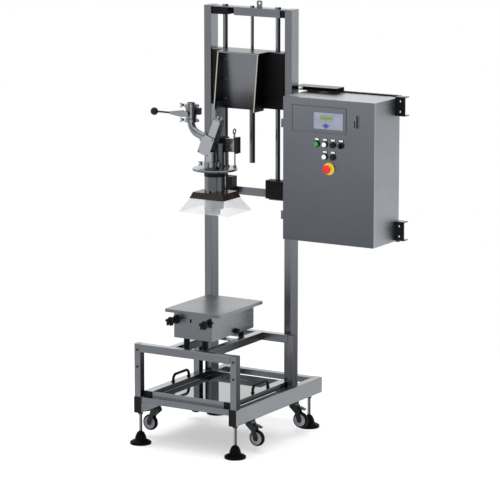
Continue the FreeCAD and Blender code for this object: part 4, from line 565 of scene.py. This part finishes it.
body_low, body_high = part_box("cabinet_body")
rail_back = body_high[1]
rail_t, rail_web, rail_flange, rail_over = 0.003, 0.038, 0.016, 0.008
rail_left, rail_right = cabinet_low[0] + 0.004, body_high[0]
screw_margin, screws_per_rail, screw_share = 0.03, 4, 0.6
rail_points, rail_faces, screw_places = [], [], []
for edge_z, up in ((body_high[2] + rail_over, 1), (body_low[2] - rail_over, -1)):
    outline = [(rail_back, edge_z - up * rail_web), (rail_back, edge_z),
               (rail_back + rail_flange, edge_z), (rail_back + rail_flange, edge_z - up * rail_t),
               (rail_back + rail_t, edge_z - up * rail_t), (rail_back + rail_t, edge_z - up * rail_web)]
    rail_faces += tube_faces(2, len(outline), 2 * len(outline) * len(rail_points))
    rail_points.append(swept_profile(outline, rail_left, rail_right))
    for x in np.linspace(rail_left + screw_margin, rail_right - screw_margin, screws_per_rail):
        screw_places.append((x, rail_back + rail_t, edge_z - up * rail_web * screw_share))
rails = new_piece("rear_rails", np.concatenate(rail_points), rail_faces, black_coated("black_coated_rail"),
                  "frame", smooth=False)
rings, around = 5, 16
screw_faces = []
for index in range(len(screw_places)):
    screw_faces += tube_faces(rings, around, index * rings * around)
screws = new_piece("rear_rail_screws", screw_heads(screw_places, rings, around), screw_faces, screw_steel,
                   "frame")


# Levelling feet: a bright screwed steel stem in a glossy black cone on a wide rubber pad.
# The screw thread of the stem, 2 mm pitch, is drawn as fine rings in its surface.
stem_from, thread_pitch, wear_mm = 0.0665, 0.002, 33.3
foot_material, tree, shader = new_material("screwed_stem_and_black_foot")
spot = add_node(tree, "TexCoord", {}).node.outputs
level = add_node(tree, "SeparateXYZ", {0: spot["Object"]}, "Z")
stem = add_node(tree, "Math", {0: level, 1: stem_from}, operation="GREATER_THAN")
# The bright steel stem is painted with a highlight on faces that look left and painted shade on faces that
# look right.
facing_x = add_node(tree, "SeparateXYZ", {0: spot["Normal"]}, "X")
rightwards = add_node(tree, "MapRange", {0: facing_x, 1: -0.9, 2: 0.9})
stem_shade = add_node(tree, "Mix", {0: rightwards, 6: "#d5d8d9", 7: "#33363a"}, 2, data_type="RGBA")
wear = add_node(tree, "TexNoise", {"Vector": spot["Object"], "Scale": 1000.0 / wear_mm}, "Fac")
cone_shade = add_node(tree, "Mix", {0: wear, 6: "#040404", 7: "#0a0a0a"}, 2, data_type="RGBA")
shade = add_node(tree, "Mix", {0: stem, 6: cone_shade, 7: stem_shade}, 2, data_type="RGBA")
gloss = add_node(tree, "MapRange", {0: wear, 1: 0.3, 2: 0.7, 3: 0.3, 4: 0.4})
turns = add_node(tree, "Math", {0: level, 1: 2 * math.pi / thread_pitch}, operation="MULTIPLY")
wave = add_node(tree, "Math", {0: turns}, operation="SINE")
ridge = add_node(tree, "Math", {0: wave, 1: stem}, operation="MULTIPLY")
bump = add_node(tree, "Bump", {"Height": ridge, "Strength": 0.5, "Distance": 0.0005})
feed(shader, {"Base Color": shade, "Metallic": stem, "Roughness": gloss, "Normal": bump,
              "Specular IOR Level": 0.04})
dress(foot_material, *("levelling_foot_" + corner for corner in ("fl", "fr", "bl", "br")))


# Castors: a pressed, zinc-plated fork and a wheel with a grey disc and a black rubber tyre.
# The tyre is matt and dark; the disc catches the light, and the fork's faces that look up carry a
# painted highlight.
fork_zinc = ground_steel("zinc_plated_fork", "Z", ("#2c2e30", "#2c2e30"), ("#222426", "#2c2e30"), "#808386",
                         span=(0.05, 0.16), rough=0.25, streak_mm=2.0)
tyre_inner, dust_mm = 0.0305, 16.7
for corner in ("fl", "fr", "bl", "br"):
    dress(fork_zinc, "castor_fork_" + corner)
    wheel_low, wheel_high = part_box("castor_wheel_" + corner)
    axle = [(low + high) / 2 for low, high in zip(wheel_low, wheel_high)]
    wheel_material, tree, shader = new_material("grey_disc_black_tyre_" + corner)
    place = add_node(tree, "TexCoord", {}, "Object")
    from_axle = add_node(tree, "VectorMath", {0: place, 1: axle}, operation="SUBTRACT")
    in_disc = add_node(tree, "VectorMath", {0: from_axle, 1: (1, 0, 1)}, operation="MULTIPLY")
    radius = add_node(tree, "VectorMath", {0: in_disc}, "Value", operation="LENGTH")
    tyre = add_node(tree, "Math", {0: radius, 1: tyre_inner}, operation="GREATER_THAN")
    dust = add_node(tree, "TexNoise", {"Vector": place, "Scale": 1000.0 / dust_mm, "Detail": 4.0}, "Fac")
    disc_tone, tyre_tone = [add_node(tree, "Mix", {0: dust, 6: clean, 7: dusty}, 2, data_type="RGBA")
                            for clean, dusty in (("#8b8d8f", "#a2a4a6"), ("#040404", "#0c0c0d"))]
    tone = add_node(tree, "Mix", {0: tyre, 6: disc_tone, 7: tyre_tone}, 2, data_type="RGBA")
    gloss = add_node(tree, "MapRange", {0: dust, 1: 0.3, 2: 0.7, 3: 0.4, 4: 0.55})
    feed(shader, {"Base Color": tone, "Roughness": gloss, "Specular IOR Level": 0.06})
    dress(wheel_material, "castor_wheel_" + corner)


# Filling valve: anodised aluminium blocks held together by long black screws. The anodising is
# light grey; the faces that look to the side, the right-hand ones in view, are painted dark as
# shade, and the faces that look up are painted lighter.
def any_of(tree, masks):
    """One where any of the masks is one, else nothing."""
    joined = masks[0]
    for mask in masks[1:]:
        joined = add_node(tree, "Math", {0: joined, 1: mask}, operation="MAXIMUM")
    return joined


valve_steel = ground_steel("anodised_valve_block", "Z", ("#a6a8ad", "#aeb0b5"), ("#36393c", "#4b4e51"),
                           "#c3c6c8", span=(1.4, 1.6), rough=0.35, streak_mm=3.0)
screw_reach, screw_front, block_front = 0.0033, -0.1725, -0.1703
screw_middles = ((-0.067, 1.434), (-0.0376, 1.5106), (0.011, 1.492), (-0.0184, 1.4154))
screw_masks = [box_mask(valve_steel.node_tree, X=(x - screw_reach, x + screw_reach),
                        Y=(screw_front, block_front), Z=(z - screw_reach, z + screw_reach))
               for x, z in screw_middles]
paint_over(valve_steel, any_of(valve_steel.node_tree, screw_masks), "#1b1c1e")
dress(valve_steel, "filling_valve")


# Splash hood: a smoked brown acrylic band on top, cut from cast sheet and glued at its corners.
# Its faces are polished and dark, so only their edges take a clear light.
dress(moulded("smoked_acrylic", "#251813", 0.12, grain_mm=4.0, shine=0.3), "hood_band")


# Controls: glossy push buttons, a red mushroom head on a yellow collar and a black selector.
# Each colour is moulded right through and polished, so it carries one small clear highlight.
dress(moulded("green_button_plastic", "#119a3c", 0.25), "start_button")
dress(moulded("white_button_plastic", "#e4e4e0", 0.25), "white_button_upper", "white_button_lower")
dress(moulded("red_stop_plastic", "#e0141b", 0.22), "stop_button")
dress(moulded("yellow_collar_plastic", "#d9c020", 0.35), "stop_collar")


# Legend plates: bare white plastic inserts snapped into black moulded holders, one above each
# control. The holders are satin, the inserts flat and bright.
plates = moulded("bare_white_legends_in_black_holders", "#121314", 0.35)
upper_row, lower_row = 1.484, 1.425
columns = (0.472, 0.516, 0.560, 0.604)
control_places = [(x, upper_row) for x in columns] + [(x, lower_row) for x in columns[1:3]]
insert_half, insert_low, insert_high = 0.0105, 0.0185, 0.0280
insert_masks = [box_mask(plates.node_tree, X=(x - insert_half, x + insert_half),
                         Z=(z + insert_low, z + insert_high)) for x, z in control_places]
paint_over(plates, any_of(plates.node_tree, insert_masks), "#dfe1e2")
dress(plates, "legend_plates")


# Keypad: a lavender polyester membrane with a green display in a raised dark frame and four
# blue keys, glued to its unit. Thin blue-grey rules are printed beside the display.
keypad = moulded("lavender_keypad_membrane", "#8d91a3", 0.35)
tree = keypad.node_tree
keypad_low, keypad_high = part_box("keypad_unit")
first_rule, rule_gap, rule_half = keypad_low[2] + 0.014, 0.011, 0.0006
rule_x = (keypad_high[0] - 0.045, keypad_high[0] - 0.008)
for rule_z in first_rule + rule_gap * np.arange(5):
    paint_over(keypad, box_mask(tree, X=rule_x, Z=(rule_z - rule_half, rule_z + rule_half)), "#9a9fb8")
display_x, display_z = (0.491, 0.559), (1.6035, 1.6195)
paint_over(keypad, box_mask(tree, X=display_x, Z=display_z), "#72873c")
keys_middle, keys_reach, keys_flatness = (0.521, 0.0, 1.574), 0.019, 1.4
from_keys = add_node(tree, "VectorMath", {0: add_node(tree, "TexCoord", {}, "Object"), 1: keys_middle},
                     operation="SUBTRACT")
off_keys = add_node(tree, "VectorMath", {0: from_keys}, operation="ABSOLUTE")
off_x, off_z = [add_node(tree, "SeparateXYZ", {0: off_keys}, axis) for axis in "XZ"]
steep = add_node(tree, "Math", {0: off_z, 1: keys_flatness}, operation="MULTIPLY")
off_both = add_node(tree, "Math", {0: off_x, 1: steep}, operation="ADD")
diamond = add_node(tree, "Math", {0: off_both, 1: keys_reach}, operation="LESS_THAN")
paint_over(keypad, diamond, "#39488f")
dress(keypad, "keypad_unit")


# Door latch: a narrow die-cast grip, grey lacquered, that folds flush into its flat plate.
# The lacquer is even and satin, a little warmer than the ground door around it; its faces that look
# to the side are painted darker as shade and those that look up are painted lighter.
dress(ground_steel("cast_latch_grip", "Z", ("#6d7075", "#787b80"), ("#4a4d50", "#4a4d50"), "#a9acad",
                   span=(1.5, 1.7), rough=0.35, streak_mm=3.0), "door_latch")


# Splash skirt: clear extruded acrylic sheet, bent to a pyramid and glued at its corners.
# It is nearly invisible, with faint grey edges and a light reflection.
haze_mm = 71.4
clear_sheet, tree, shader = new_material("clear_acrylic_sheet")
place = add_node(tree, "TexCoord", {}, "Object")
haze = add_node(tree, "TexNoise", {"Vector": place, "Scale": 1000.0 / haze_mm, "Detail": 3.0}, "Fac")
gloss = add_node(tree, "MapRange", {0: haze, 1: 0.3, 2: 0.7, 3: 0.02, 4: 0.09})
cover = add_node(tree, "MapRange", {0: haze, 1: 0.3, 2: 0.7, 3: 0.2, 4: 0.3})
feed(shader, {"Base Color": "#c9cccd", "Roughness": gloss, "Alpha": cover, "Specular IOR Level": 0.3})
dress(clear_sheet, "splash_hood")

bpy.context.scene.view_settings.view_transform = "Standard"
